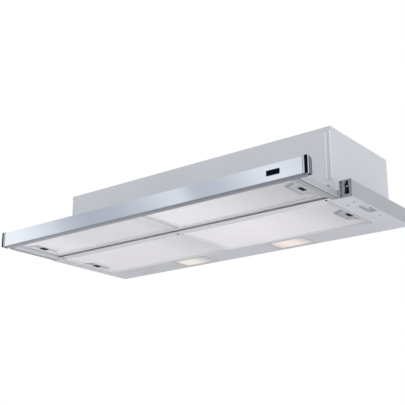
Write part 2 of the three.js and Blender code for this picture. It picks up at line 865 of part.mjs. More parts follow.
const armNear = ARM_OFFSET - SHEET; // tall plate's near face from the body's side
const armRear = BODY_DEPTH - TRAVEL - ARM_END_GAP;
const railRear = BODY_DEPTH - RAIL_END_GAP;
const middleFront = -RAIL_MIDDLE_NOSE;
const middleRear = middleFront + RAIL_MIDDLE_LENGTH;
const middleNear = FIT + SHEET + RUN;
const innerNear = middleNear + SHEET + RUN;
const innerFar = armNear - FIT;
for (const { name, sign } of sides) {
  const outer = railMember(sign, FIT, RAIL_DEPTH, 0, false, RAIL_END_GAP, railRear);
  const middleFar = RAIL_DEPTH + RAIL_STEP;
  const middle = railMember(
    sign,
    middleNear,
    middleFar,
    RAIL_STEP,
    false,
    middleFront,
    middleRear,
  );
  const inner = railMember(
    sign,
    innerNear,
    innerFar,
    2 * RAIL_STEP,
    true,
    drawerRear + SHEET,
    armRear,
  );
  piece("rail_outer_" + name, outer, zinc());
  piece("rail_middle_" + name, middle, zinc());
  piece("rail_inner_" + name, inner, zinc());
}

// ---------------------------------------------------------------- drawer
const armStart = lipRear + FIT;
const armTop = BASE_HEIGHT - SHEET - ARM_CLEAR;
const frameLeft = skirtLeft + FLANGE_LEFT + FIT;
const frameRight = skirtRight - FLANGE_RIGHT - FIT;
const capOuter = halfFrame;
const fasciaHalf = capOuter - CAP_WIDTH - FIT;

function drawerArm(sign) {
  const outer = sign > 0 ? skirtRight : -skirtLeft;
  const inner = outer - (sign > 0 ? FLANGE_RIGHT : FLANGE_LEFT);
  const tallFar = halfBody + ARM_OFFSET;
  const webZ = drawerBottom + SHEET;
  const skirt = sideBlock(sign, outer - SHEET, outer, armStart, armRear, wingFloor, drawerTop);
  const flange = sideBlock(sign, inner, outer, armStart, armRear, wingFloor, wingFloor + SHEET);
  const step = sideBlock(
    sign,
    inner,
    inner + SHEET,
    armStart,
    armRear,
    wingFloor,
    drawerBottom,
  );
  const web = sideBlock(sign, tallFar - SHEET, outer, drawerRear, armRear, webZ, webZ + SHEET);
  const tall = sideBlock(sign, tallFar - SHEET, tallFar, drawerRear, armRear, webZ, armTop);
  return union(skirt, flange, step, web, tall);
}

const frontFilters = [
  { name: "front_left", sign: -1, x0: frameLeft + DRAWER_MARGIN_LEFT, x1: -DRAWER_BAR / 2 - RUN },
  { name: "front_right", sign: 1, x0: DRAWER_BAR / 2 + RUN, x1: frameRight - DRAWER_MARGIN_RIGHT },
];
for (const filter of frontFilters) {
  filter.y0 = lipRear + DRAWER_MARGIN_FRONT;
  filter.y1 = -CROSSBAR_NOSE - DRAWER_MARGIN_REAR;
  filter.z = drawerBottom;
  filter.latchY = (filter.y0 + filter.y1) / 2;
}

function drawerFrame() {
  const inFront = fasciaFront + SHEET + FIT;
  const plateLeft = frameLeft;
  const plateRight = frameRight;
  const plate = block(
    plateLeft,
    plateRight,
    inFront,
    drawerRear,
    drawerBottom,
    drawerBottom + SHEET,
  );
  const upturn = block(
    plateLeft,
    plateRight,
    inFront,
    inFront + SHEET,
    drawerBottom,
    fasciaTop - SHEET - FIT,
  );
  const windows = frontFilters.map((f) =>
    alongZ(
      roundedRect(f.x0 - RUN, f.x1 + RUN, f.y0 - RUN, f.y1 + RUN, FILTER_CORNER),
      drawerBottom - 1,
      drawerBottom + SHEET + 1,
    ),
  );
  return cut(union(plate, upturn), ...windows);
}

// The lid of the flat duct, narrower at the front where the end caps reach in.
function drawerTopCover() {
  const z0 = drawerTop - SHEET;
  const right = skirtRight - SHEET - FIT;
  const behindCaps = fasciaFront - CAP_PROUD + CAP_DEPTH + FIT;
  return union(
    block(skirtLeft + SHEET + FIT, right, behindCaps, drawerRear - FIT, z0, drawerTop),
    block(
      -capOuter + CAP_WIDTH + SPIGOT + FIT,
      right,
      fasciaFront + 2 * SHEET + 2 * FIT,
      behindCaps + SHEET,
      z0,
      drawerTop,
    ),
  );
}

// The fascia's section: front face, lip with a hem below, return with a hem above.
function fasciaPanel() {
  const y = fasciaFront;
  const z = FASCIA_BOTTOM;
  const back = y + FASCIA_RETURN;
  const section = [
    [y, z],
    [lipRear, z],
    [lipRear, z + FASCIA_HEM],
    [lipRear - SHEET, z + FASCIA_HEM],
    [lipRear - SHEET, z + SHEET],
    [y + SHEET, z + SHEET],
    [y + SHEET, fasciaTop - SHEET],
    [back - SHEET, fasciaTop - SHEET],
    [back - SHEET, fasciaTop - FASCIA_HEM],
    [back, fasciaTop - FASCIA_HEM],
    [back, fasciaTop],
    [y, fasciaTop],
  ];
  return alongX(section, -fasciaHalf, fasciaHalf);
}

// An end cap with a round shoulder at the top rear, and a spigot into the fascia.
function endCap(sign) {
  const front = fasciaFront - CAP_PROUD;
  const rear = front + CAP_DEPTH;
  const bottom = FASCIA_BOTTOM;
  const top = fasciaTop + CAP_PROUD;
  const shape = new THREE.Shape();
  shape.moveTo(front, bottom);
  shape.lineTo(rear - CAP_NOSE, bottom);
  shape.absarc(rear - CAP_NOSE, bottom + CAP_NOSE, CAP_NOSE, -Math.PI / 2, 0);
  shape.lineTo(rear, top - CAP_SHOULDER);
  shape.absarc(rear - CAP_SHOULDER, top - CAP_SHOULDER, CAP_SHOULDER, 0, Math.PI / 2);
  shape.lineTo(front + CAP_NOSE, top);
  shape.absarc(front + CAP_NOSE, top - CAP_NOSE, CAP_NOSE, Math.PI / 2, Math.PI);
  const near = capOuter - CAP_WIDTH;
  const [x0, x1] = sign > 0 ? [near, capOuter] : [-capOuter, -near];
  const spigotRear = fasciaFront + FASCIA_RETURN - SHEET - FIT;
  const spigot = sideBlock(
    sign,
    near - SPIGOT,
    near + 1,
    fasciaFront + SHEET + FIT,
    spigotRear,
    FASCIA_BOTTOM + SHEET + FIT,
    fasciaTop - SHEET - FIT,
  );
  return union(alongX(shape, x0, x1), spigot);
}

piece("fascia_panel", fasciaPanel(), brushedSteel());
for (const { name, sign } of sides) piece("end_cap_" + name, endCap(sign), greyPlastic());
const badgeX = halfFrame - BADGE.fromEnd;
piece(
  "blank_badge",
  block(
    badgeX - BADGE.width / 2,
    badgeX + BADGE.width / 2,
    fasciaFront - FIT - BADGE.thick,
    fasciaFront - FIT,
    BADGE.z - BADGE.height / 2,
    BADGE.z + BADGE.height / 2,
  ),
  blackPlastic(),
);
piece("drawer_frame", drawerFrame(), greyPaint());
piece("drawer_top_cover", drawerTopCover(), greyPaint());
for (const { name, sign } of sides) piece("drawer_arm_" + name, drawerArm(sign), greyPaint());

// ---------------------------------------------------------------- grease filters
const dividerClear = REAR_DIVIDER_WIDTH / 2 + RUN;
const rearFilters = [
  { name: "rear_left", sign: -1, x0: bayLeft + RUN, x1: dividerX - dividerClear },
  { name: "rear_right", sign: 1, x0: dividerX + dividerClear, x1: bayRight - RUN },
];
for (const filter of rearFilters) {
  filter.y0 = rearFilterFront;
  filter.y1 = bayRear - RUN;
  filter.z = 0;
  filter.latchY = (filter.y0 + filter.y1) / 2 + LATCH_OFFSET;
}

// The latch pocket in a filter's outer end: long side out, grown or shrunk by a margin.
function latchPocket(filter, margin, z0, z1) {
  const outer = filter.sign > 0 ? filter.x1 - FILTER_RIM : filter.x0 + FILTER_RIM;
  const inner = outer - filter.sign * LATCH_WIDTH;
  const grow = filter.sign * margin;
  const longHalf = LATCH_LONG / 2 + margin;
  const shortHalf = LATCH_SHORT / 2 + margin;
  const points = [
    [outer + grow, filter.latchY - longHalf],
    [outer + grow, filter.latchY + longHalf],
    [inner - grow, filter.latchY + shortHalf],
    [inner - grow, filter.latchY - shortHalf],
  ];
  return alongZ(filter.sign > 0 ? points : points.reverse(), z0, z1);
}

function filterBox(filter, inset, z0, z1) {
  const corner = Math.max(FILTER_CORNER - inset, 1);
  return alongZ(
    roundedRect(
      filter.x0 + inset,
      filter.x1 - inset,
      filter.y0 + inset,
      filter.y1 - inset,
      corner,
    ),
    z0,
    z1,
  );
}

function knobCentre(filter) {
  const outer = filter.sign > 0 ? filter.x1 : filter.x0;
  return outer - filter.sign * (FILTER_RIM + SHEET + RUN + KNOB.x / 2);
}

function filterFrame(filter) {
  const z = filter.z;
  const top = z + FILTER_HEIGHT;
  const ring = cut(
    filterBox(filter, 0, z, top),
    filterBox(filter, FILTER_SHEET, z + FILTER_SHEET, top - FILTER_SHEET),
    filterBox(filter, FILTER_RIM, z - 1, top + 1),
  );
  const ceiling = z + LATCH_DEPTH + FILTER_SHEET;
  const tray = latchPocket(filter, SHEET, z, ceiling);
  const pocket = latchPocket(filter, 0, z - 1, z + LATCH_DEPTH);
  const x = knobCentre(filter);
  const reach = filter.sign * LATCH_TRAVEL;
  const slot = block(
    Math.min(x, x - reach) - KNOB.stemX / 2 - RUN,
    Math.max(x, x - reach) + KNOB.stemX / 2 + RUN,
    filter.latchY - KNOB.stemY / 2 - RUN,
    filter.latchY + KNOB.stemY / 2 + RUN,
    z,
    ceiling + 1,
  );
  return cut(union(ring, tray), pocket, slot);
}

function filterMesh(filter) {
  const z = filter.z + FILTER_SHEET + FIT;
  const top = filter.z + FILTER_HEIGHT - FILTER_SHEET - FIT;
  const slab = filterBox(filter, FILTER_SHEET + FIT, z, top);
  return cut(slab, latchPocket(filter, SHEET + RUN, z - 1, top + 1));
}

function latchKnob(filter) {
  const x = knobCentre(filter);
  const z = filter.z + FIT;
  const bar = (halfX, halfY, z0, z1) =>
    block(x - halfX, x + halfX, filter.latchY - halfY, filter.latchY + halfY, z0, z1);
  const thumb = bar(KNOB.x / 2, KNOB.y / 2, z, z + KNOB.z);
  const keeperBottom = filter.z + LATCH_DEPTH + FILTER_SHEET + FIT;
  const stem = bar(KNOB.stemX / 2, KNOB.stemY / 2, z + KNOB.z - FIT, keeperBottom + FIT);
  const keeper = bar(KNOB.x / 2, KNOB.keeperY / 2, keeperBottom, keeperBottom + SHEET);
  return union(thumb, stem, keeper);
}

for (const filter of [...frontFilters, ...rearFilters]) {
  piece("filter_frame_" + filter.name, filterFrame(filter), aluminium());
  piece("filter_mesh_" + filter.name, filterMesh(filter), aluminium());
  piece("latch_knob_" + filter.name, latchKnob(filter), blackPlastic());
}

hood.position.set(0, -BODY_DEPTH, -BASE_HEIGHT);

export default hood;
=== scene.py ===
"""Pull out range hood: finishes, sheet edges, small fittings, filter mesh, lamps and studio."""
import json
import math

import bmesh
import bpy
from mathutils import Matrix, Vector

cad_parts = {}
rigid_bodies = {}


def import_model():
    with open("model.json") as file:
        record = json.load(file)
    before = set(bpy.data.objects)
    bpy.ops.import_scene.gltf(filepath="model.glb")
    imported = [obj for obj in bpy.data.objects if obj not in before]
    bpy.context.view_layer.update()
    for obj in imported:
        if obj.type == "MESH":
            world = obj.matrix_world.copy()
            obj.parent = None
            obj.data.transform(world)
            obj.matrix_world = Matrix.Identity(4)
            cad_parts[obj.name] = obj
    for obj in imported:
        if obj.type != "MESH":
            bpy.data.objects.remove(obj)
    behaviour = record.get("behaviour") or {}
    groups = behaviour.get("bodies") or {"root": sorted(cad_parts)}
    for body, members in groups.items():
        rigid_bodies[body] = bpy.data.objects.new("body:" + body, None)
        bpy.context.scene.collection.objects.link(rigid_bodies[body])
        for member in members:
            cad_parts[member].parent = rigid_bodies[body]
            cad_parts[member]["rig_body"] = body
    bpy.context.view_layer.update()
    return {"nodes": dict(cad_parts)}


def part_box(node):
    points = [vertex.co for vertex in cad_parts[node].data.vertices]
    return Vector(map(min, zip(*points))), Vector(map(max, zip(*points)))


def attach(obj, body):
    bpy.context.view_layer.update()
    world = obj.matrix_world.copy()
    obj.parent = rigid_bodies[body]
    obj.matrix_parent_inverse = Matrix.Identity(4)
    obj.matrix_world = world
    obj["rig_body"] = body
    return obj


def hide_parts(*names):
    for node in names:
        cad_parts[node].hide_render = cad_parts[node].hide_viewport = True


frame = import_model()
nodes = frame["nodes"]
SIDES = (("left", -1), ("right", 1))
FILTERS = ("front_left", "front_right", "rear_left", "rear_right")

# ------------------------------------------------------------------ places, metres
BODY_DEPTH = 0.267  # wall to the upper body's front
SEAT = 0.038  # underside to the cabinet seat


def at(x, y, z):
    """A place in millimetres from the body's front and the underside, in the row frame."""
    return Vector((x / 1000, y / 1000 - BODY_DEPTH, z / 1000 - SEAT))


def box_mm(node):
    """A node's lowest and highest corners in millimetres from the front and the underside."""
    low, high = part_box(node)
    return (low - at(0, 0, 0)) * 1000, (high - at(0, 0, 0)) * 1000


def side_sign(kind):
    """1 for a piece on the right, -1 for one on the left."""
    return 1 if kind.endswith("right") else -1


def body_of_node(name):
    """The body that a CAD node rides on."""
    return nodes[name]["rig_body"]


# ------------------------------------------------------------------ shader building
def put(tree, kind, inputs=None, **settings):
    """Adds a node. An input's value is a constant or another node's output."""
    node = tree.nodes.new(kind)
    for key, value in settings.items():
        setattr(node, key, value)
    for key, value in (inputs or {}).items():
        if isinstance(value, bpy.types.NodeSocket):
            tree.links.new(value, node.inputs[key])
        else:
            node.inputs[key].default_value = value
    return node


def start_material(name, **constants):
    """A material with its shader's constants set, and the Object coordinates to pattern it."""
    material = bpy.data.materials.new(name)
    material.use_nodes = True
    tree = material.node_tree
    shader = tree.nodes["Principled BSDF"]
    for key, value in constants.items():
        shader.inputs[key.replace("_", " ")].default_value = value
    place = put(tree, "ShaderNodeTexCoord").outputs["Object"]
    return material, tree, shader, place


def noise(tree, place, scale, detail=2.0, roughness=0.5):
    """Soft random cloud, finer at a larger scale."""
    inputs = {"Vector": place, "Scale": scale, "Detail": detail, "Roughness": roughness}
    return put(tree, "ShaderNodeTexNoise", inputs).outputs["Fac"]


def stretched(tree, place, scale):
    """Places with each axis scaled, so that a pattern is longer one way than another."""
    return put(tree, "ShaderNodeMapping", {"Vector": place, "Scale": scale}).outputs["Vector"]


def shades(tree, factor, dark, light, low=0.3, high=0.7):
    """Two tones of a colour, mixed by a pattern between its low and high values."""
    ramp = put(tree, "ShaderNodeValToRGB", {"Fac": factor})
    ramp.color_ramp.elements[0].position = low
    ramp.color_ramp.elements[0].color = (*dark, 1)
    ramp.color_ramp.elements[1].position = high
    ramp.color_ramp.elements[1].color = (*light, 1)
    return ramp.outputs["Color"]


def color_stops(tree, factor, stops, smooth="LINEAR"):
    """A colour for each place from 0 to 1 along a factor."""
    ramp = put(tree, "ShaderNodeValToRGB", {"Fac": factor})
    ramp.color_ramp.interpolation = smooth
    while len(ramp.color_ramp.elements) < len(stops):
        ramp.color_ramp.elements.new(0.5)
    for element, (position, color) in zip(ramp.color_ramp.elements, stops):
        element.position = position
        element.color = (*color, 1)
    return ramp.outputs["Color"]


def ranged(tree, value, low, high, start=0.0, end=1.0):
    """Takes a value between low and high to one between start and end."""
    inputs = {"Value": value, "From Min": low, "From Max": high, "To Min": start, "To Max": end}
    return put(tree, "ShaderNodeMapRange", inputs).outputs["Result"]


def spread(tree, cloud, low, high):
    """A noise's usual range, 0.3 to 0.7, taken to low and high."""
    return ranged(tree, cloud, 0.3, 0.7, low, high)


def number(tree, operation, *values):
    """A number worked out from one or two others."""
    return put(tree, "ShaderNodeMath", dict(enumerate(values)), operation=operation).outputs[0]


def scaled(tree, color, share):
    """A colour times a share that changes over the surface."""
    inputs = {0: color, "Scale": share}
    return put(tree, "ShaderNodeVectorMath", inputs, operation="SCALE").outputs["Vector"]


def tone(color, share):
    """A colour at a share of its strength."""
    return tuple(channel * share for channel in color)


def facing(tree, axis):
    """1 where a surface looks along an axis, fading to 0 by 60 degrees away from it."""
    normal = put(tree, "ShaderNodeNewGeometry").outputs["Normal"]
    share = put(tree, "ShaderNodeVectorMath", {0: normal, 1: axis}, operation="DOT_PRODUCT")
    return ranged(tree, share.outputs["Value"], 0.5, 0.8)


def darker(tree, color, share, factor):
    """Takes a colour down to a share of itself where the factor is 1."""
    return scaled(tree, color, ranged(tree, factor, 0.0, 1.0, 1.0, share))


def bump(tree, shader, height, strength, distance):
    """Fine relief on a finish, its distance in metres."""
    inputs = {"Height": height, "Strength": strength, "Distance": distance}
    raised = put(tree, "ShaderNodeBump", inputs)
    tree.links.new(raised.outputs["Normal"], shader.inputs["Normal"])


# ------------------------------------------------------------------ finishes
def looking(axis):
    """Where a sheet looks along an axis."""
    return lambda tree, place: facing(tree, axis)


def higher(low, high):
    """How far up a sheet lies between two heights in millimetres."""

    def factor(tree, place):
        z = put(tree, "ShaderNodeSeparateXYZ", {0: place}).outputs["Z"]
        return ranged(tree, z, at(0, 0, low).z, at(0, 0, high).z)

    return factor


STRIP_START, STRIP_FULL = 186, 194  # Y in mm where the painted shade on the strip behind the filters begins and is full
STRIP_OUTER, STRIP_INNER = 0.44, 0.36  # metres from the middle where its ends fade out


def shade_behind_filters(tree, place):
    """Where shade is painted: the plain strip between the filters and the wall."""
    parts = put(tree, "ShaderNodeSeparateXYZ", {0: place}).outputs
    deep = ranged(tree, parts["Y"], at(0, STRIP_START, 0).y, at(0, STRIP_FULL, 0).y)
    out = number(tree, "ABSOLUTE", parts["X"])
    inner = ranged(tree, out, STRIP_OUTER, STRIP_INNER)
    return number(tree, "MULTIPLY", deep, inner)


def enamel(name, color, roughness=0.38, shade=None, share=1.0):
    """Satin enamel on sheet: a slow drift of tone, a cloudy gloss and fine orange peel.
    The shade, where given, is painted shade: it tells where the sheet is darker, and the share how
    much colour stays there."""
    material, tree, shader, place = start_material(name)
    drift = noise(tree, place, 4.5, 1.0)
    color_out = shades(tree, drift, tone(color, 0.965), tone(color, 1.03))
    if shade:
        color_out = darker(tree, color_out, share, shade(tree, place))
    tree.links.new(color_out, shader.inputs["Base Color"])
    rub = noise(tree, place, 70, 3.0)
    tree.links.new(spread(tree, rub, roughness - 0.05, roughness + 0.06), shader.inputs["Roughness"])
    peel = noise(tree, place, 1500, 2.0)
    bump(tree, shader, peel, 0.12, 0.00012)
    return material


# The brushed fascia's colour holds painted reflections of the room in soft bands, between its duller
# and its brighter tone: X in mm, and how bright it stands there.
FASCIA_TONES = ((0.372, 0.41, 0.495), (0.89, 0.935, 1.0))
FASCIA_REFLECTION_BANDS = (
    (-440, 1.0),
    (-380, 1.0),
    (-270, 0.48),
    (-240, 0.4),
    (-160, 0.06),
    (-35, 0.24),
    (45, 0.48),
    (120, 0.77),
    (165, 0.08),
    (275, 0.48),
    (350, 0.86),
    (410, 0.61),
)
FASCIA_LEAN = (1, 0, 0.8)  # the painted reflection bands lean, so that a place's height counts as well
LIP_REFLECTION_ENDS = ((0.315, 0.325, 0.385), (0.215, 0.228, 0.275))  # painted dark reflection on the folded lip, left and right end
HALF_SPAN = 0.45  # metres either side of the middle that a tone along the width covers


def along_share(x):
    """Where a place in millimetres lies along the width, from 0 to 1."""
    return (x / 1000 + HALF_SPAN) / (2 * HALF_SPAN)


def width_share(tree, x):
    """The same for each place on a surface, X in metres."""
    return ranged(tree, x, -HALF_SPAN, HALF_SPAN)


def level_stops(levels):
    """Grey stops along the width from pairs of X in millimetres and its level there."""
    return [(along_share(x), (level,) * 3) for x, level in levels]


def painted_light_along_width(tree, color, place, levels):
    """Paints light and shade into a colour along the width, by pairs of X in millimetres and its share
    there.
    """
    x = put(tree, "ShaderNodeSeparateXYZ", {0: place}).outputs["X"]
    share = color_stops(tree, width_share(tree, x), level_stops(levels))
    return scaled(tree, color, share)


def brushed_fascia(name, roughness):
    """Steel brushed along the hood's width: long fine streaks in tone, gloss and relief, over broad
    soft bands of painted reflection along its length. The folded lip underneath is painted dark and
    even, a painted reflection."""
    material, tree, shader, place = start_material(name, Metallic=1.0)
    inputs = {0: place, 1: FASCIA_LEAN}
    lean = put(tree, "ShaderNodeVectorMath", inputs, operation="DOT_PRODUCT").outputs["Value"]
    share = width_share(tree, lean)
    bands = color_stops(tree, share, level_stops(FASCIA_REFLECTION_BANDS), "B_SPLINE")
    tones = shades(tree, bands, *FASCIA_TONES, 0.0, 1.0)
    fine = noise(tree, stretched(tree, place, (9, 4200, 4200)), 1.0, 3.0, 0.65)
    streaks = darker(tree, tones, 0.9, spread(tree, fine, 0.0, 1.0))
    # the lip's dark tone is a painted reflection of the darker room below
    lip = shades(tree, share, *LIP_REFLECTION_ENDS, 0.0, 1.0)
    inputs = {"Factor": facing(tree, (0, 0, -1)), "A": streaks, "B": lip}
    lipped = put(tree, "ShaderNodeMix", inputs, data_type="RGBA")
    tree.links.new(lipped.outputs["Result"], shader.inputs["Base Color"])
    tree.links.new(spread(tree, fine, roughness - 0.07, roughness + 0.08), shader.inputs["Roughness"])
    bump(tree, shader, fine, 0.2, 0.00005)
    return material


def plated(name, color, roughness, scale=260, metallic=0.75, levels=None):
    """Zinc or rolled aluminium: cloudy spangle in tone and gloss, faint rolling lines, and painted
    light and shade along the width where levels are given.
    """
    material, tree, shader, place = start_material(name, Metallic=metallic)
    cloud = noise(tree, place, scale, 3.0, 0.6)
    color_out = shades(tree, cloud, tone(color, 0.9), tone(color, 1.06))
    if levels:
        color_out = painted_light_along_width(tree, color_out, place, levels)
    tree.links.new(color_out, shader.inputs["Base Color"])
    tree.links.new(spread(tree, cloud, roughness - 0.08, roughness + 0.08), shader.inputs["Roughness"])
    lines = noise(tree, stretched(tree, place, (20, 2500, 2500)), 1.0, 2.0)
    bump(tree, shader, lines, 0.12, 0.00005)
    return material


def moulded(name, color, roughness, grain=1900, depth=0.35, gloss=0.5):
    """Moulded plastic with a fine spark-eroded grain."""
    material, tree, shader, place = start_material(name, Specular_IOR_Level=gloss)
    spark = noise(tree, place, grain, 2.0, 0.7)
    tree.links.new(
        shades(tree, spark, tone(color, 0.9), tone(color, 1.1)), shader.inputs["Base Color"]
    )
    wear = noise(tree, place, 90, 2.0)
    tree.links.new(spread(tree, wear, roughness - 0.05, roughness + 0.07), shader.inputs["Roughness"])
    bump(tree, shader, spark, depth, 0.00008)
    return material


def strand_metal(name, color, levels):
    """Bright expanded aluminium, with painted shade along the width where less of the room's light
    reaches it.
    """
    material, tree, shader, place = start_material(name, Metallic=0.25)
    cloud = noise(tree, place, 900, 3.0, 0.6)
    bright = shades(tree, cloud, tone(color, 0.93), tone(color, 1.04))
    tree.links.new(painted_light_along_width(tree, bright, place, levels), shader.inputs["Base Color"])
    tree.links.new(spread(tree, cloud, 0.34, 0.5), shader.inputs["Roughness"])
    return material


def woven_back(name, color, levels):
    """The layers behind the outer mesh: staggered gaps painted dark as the shade in their holes,
    between bright strands, and the faint upright columns that stacked layers show; painted light and
    shade along the width."""
    material, tree, shader, place = start_material(name, Metallic=0.2, Roughness=0.5)
    packed = stretched(tree, place, (150, 330, 150))
    inputs = {"Vector": packed, "Scale": 1.0, "Randomness": 0.25}
    cells = put(tree, "ShaderNodeTexVoronoi", inputs).outputs["Distance"]
    # the darker cell borders are painted shade in the layers' holes
    layers = shades(tree, cells, color, tone(color, 0.72), 0.35, 0.8)
    columns = put(tree, "ShaderNodeTexWave", {"Vector": place, "Scale": 55.0}).outputs["Fac"]
    layers = darker(tree, layers, 0.94, columns)
    tree.links.new(painted_light_along_width(tree, layers, place, levels), shader.inputs["Base Color"])
    bump(tree, shader, cells, 0.6, 0.0005)
    return material


LENS_GLOW = (  # how far from the bulb in metres, and the emitted colour there
    (0.0, (0.84, 0.76, 0.63)),
    (0.02, (0.78, 0.66, 0.56)),
    (0.035, (0.57, 0.47, 0.43)),
    (0.045, (0.36, 0.31, 0.3)),
    (0.056, (0.13, 0.13, 0.17)),
    (0.07, (0.04, 0.06, 0.1)),
)


def glowing_lens(name, centre):
    """Frosted lens lit from behind: pale and warm over the bulb, cooler and darker far from it."""
    material, tree, shader, place = start_material(name, Roughness=0.45)
    shifted = put(tree, "ShaderNodeVectorMath", {0: place, 1: centre}, operation="SUBTRACT")
    flat = stretched(tree, shifted.outputs["Vector"], (1, 0.7, 0))
    reach = put(tree, "ShaderNodeVectorMath", {0: flat}, operation="LENGTH")
    furthest = LENS_GLOW[-1][0]
    share = ranged(tree, reach.outputs["Value"], 0.0, furthest)
    glow = color_stops(tree, share, [(distance / furthest, color) for distance, color in LENS_GLOW])
    shader.inputs["Base Color"].default_value = (0.42, 0.4, 0.4, 1)
    tree.links.new(glow, shader.inputs["Emission Color"])
    shader.inputs["Emission Strength"].default_value = 0.5
    frost = noise(tree, place, 700, 3.0)
    bump(tree, shader, frost, 0.4, 0.0001)
    return material


def lit_glass(name):
    """A bulb's frosted glass, lit warm."""
    material, tree, shader, place = start_material(name, Roughness=0.2)
    cloud = noise(tree, place, 120, 2.0)
    tree.links.new(
        shades(tree, cloud, (0.9, 0.84, 0.74), (1.0, 0.95, 0.86)), shader.inputs["Base Color"]
    )
    shader.inputs["Emission Color"].default_value = (1.0, 0.85, 0.66, 1)
    shader.inputs["Emission Strength"].default_value = 0.5
    return material


GREY = (0.56, 0.58, 0.625)
grey_enamel = enamel("grey_enamel", GREY)
# Painted highlight: the beads' paler, glossier enamel stands for the light caught on the folds.
bead_highlight_enamel = enamel("bead_highlight_enamel", (0.74, 0.76, 0.8), 0.25)
# Painted light: the front panel's enamel is paler low down, where the drawer shades it, and painted
# darker towards its top.
panel_enamel = enamel("panel_enamel", tone(GREY, 1.06), 0.38, higher(50, 165), 0.9)
# Painted shade: the side panels' enamel is darker on the faces that look to the front.
side_enamel = enamel("side_enamel", GREY, 0.38, looking((0, -1, 0)), 0.88)
# Painted light: the upstand is the grey enamel made paler against the drawer's shade on it.
upstand_enamel = enamel("upstand_enamel", tone(GREY, 1.13))
crossbar_enamel = enamel("crossbar_enamel", (0.495, 0.505, 0.54), 0.34)
# The wings' own darker enamel, with painted shade on the faces that look to the side.
wing_enamel = enamel("wing_enamel", (0.52, 0.54, 0.59), 0.38, looking((1, 0, 0)), 0.68)
# Painted shade darkens the underside's strip behind the filters.
under_enamel = enamel("underside_enamel", (0.455, 0.47, 0.515), 0.34, shade_behind_filters, 0.9)
# The drawer arms share one enamel: painted shade on faces that look down, and the right arm painted
# darker than the left for its shade.
below = looking((0, 0, -1))
left_arm_enamel = enamel("left_arm_enamel", (0.5, 0.512, 0.545), 0.34, below, 0.94)
right_arm_enamel = enamel("right_arm_enamel", (0.405, 0.418, 0.45), 0.34, below, 0.76)
drawer_enamel = enamel("drawer_enamel", (0.525, 0.535, 0.58), 0.34)
fascia_steel = brushed_fascia("fascia_steel", 0.3)
bright_trim = plated("bright_trim", (0.5, 0.535, 0.6), 0.2, 40)
# Painted highlight for the corner where each end cap turns.
bright_edge = plated("bright_edge", (0.85, 0.87, 0.92), 0.25, 40)
slide_zinc = plated("slide_zinc", (0.5, 0.52, 0.55), 0.38)
collar_zinc = plated("collar_zinc", (0.6, 0.62, 0.64), 0.36)
flap_aluminium = plated("flap_aluminium", (0.8, 0.81, 0.85), 0.4, 500, 0.4)
# Painted light and shade: how bright the filters stand along the width, left and right filter: X in
# mm, share of colour.
FRONT_LEVELS = (
    (-330, 1.0),
    (-250, 0.91),
    (-60, 0.88),
    (-12, 0.79),
    (-9, 0.7),
    (9, 1.0),
    (120, 0.97),
    (220, 0.87),
    (330, 0.73),
    (400, 0.67),
)
REAR_LEVELS = (
    (-400, 0.95),
    (-130, 0.92),
    (-16, 0.79),
    (-12, 0.76),
    (-10, 0.95),
    (150, 0.97),
    (270, 0.895),
    (330, 0.795),
    (390, 0.71),
)
# Painted light along the drawer's rear trim: X in mm, share of colour.
TRIM_LEVELS = ((100, 1.0), (400, 0.78))


def painted_shade_rims(levels, left, left_share, right, right_share):
    """The same painted light and shade for a row's frames, whose outer rims are painted duller: left
    of one place in millimetres and right of another, each with its own share."""
    first, last = levels[0][1], levels[-1][1]
    ends = [(right, last), (right + 1, last * right_share)]
    return [(left - 1, first * left_share), (left, first)] + list(levels[:-1]) + ends


FRONT_FRAMES = painted_shade_rims(FRONT_LEVELS, -403.7, 0.92, 386.2, 0.56)
REAR_FRAMES = painted_shade_rims(REAR_LEVELS, -408.9, 1.0, 384.9, 0.8)
# The front and rear frames are one aluminium: the front ones painted paler against the deeper shade
# they sit in, both with painted light and shade along the width.
front_frame_metal = plated("front_frame_metal", (0.96, 0.96, 0.99), 0.4, 500, 0.3, FRONT_FRAMES)
rear_frame_metal = plated("rear_frame_metal", (0.86, 0.87, 0.9), 0.4, 500, 0.3, REAR_FRAMES)
drawer_trim = strand_metal("drawer_trim", (0.95, 0.95, 0.975), TRIM_LEVELS)
MESH_FINISHES = {
    "front": (
        strand_metal("front_mesh_strands", (0.96, 0.957, 0.985), FRONT_LEVELS),
        woven_back("front_mesh_layers", (0.96, 0.957, 0.98), FRONT_LEVELS),
    ),
    "rear": (
        strand_metal("rear_mesh_strands", (0.985, 0.97, 1.0), REAR_LEVELS),
        woven_back("rear_mesh_layers", (0.985, 0.965, 1.0), REAR_LEVELS),
    ),
}
black_plastic = moulded("black_plastic", (0.006, 0.007, 0.01), 0.5, gloss=0.05)
gloss_black = moulded("gloss_black", (0.004, 0.005, 0.009), 0.35, 900, 0.05, 0.0)
face_plastic = moulded("face_plastic", (0.2, 0.215, 0.24), 0.45, gloss=0.3)
legend_plastic = moulded("legend_plastic", (0.145, 0.155, 0.175), 0.5, gloss=0.3)
cap_plastic = moulded("cap_plastic", (0.11, 0.12, 0.15), 0.4, gloss=0.3)
TRAY_TONES = {  # the latch trays, each in its own painted light or shade
    "front_left": (0.48, 0.495, 0.52),
    "front_right": (0.37, 0.385, 0.43),
    "rear_left": (0.43, 0.44, 0.46),
    "rear_right": (0.31, 0.325, 0.37),
}
white_plastic = moulded("white_plastic", (0.72, 0.72, 0.73), 0.45)
wheel_plastic = moulded("wheel_plastic", (0.11, 0.115, 0.125), 0.5)
mark_print = moulded("mark_print", (0.03, 0.032, 0.036), 0.5, 900, 0.05, 0.2)
seam_grey = moulded("seam_grey", (0.15, 0.155, 0.175), 0.6, 900, 0.1, 0.2)
seam_soft = moulded("seam_soft", (0.27, 0.275, 0.3), 0.6, 900, 0.1, 0.2)
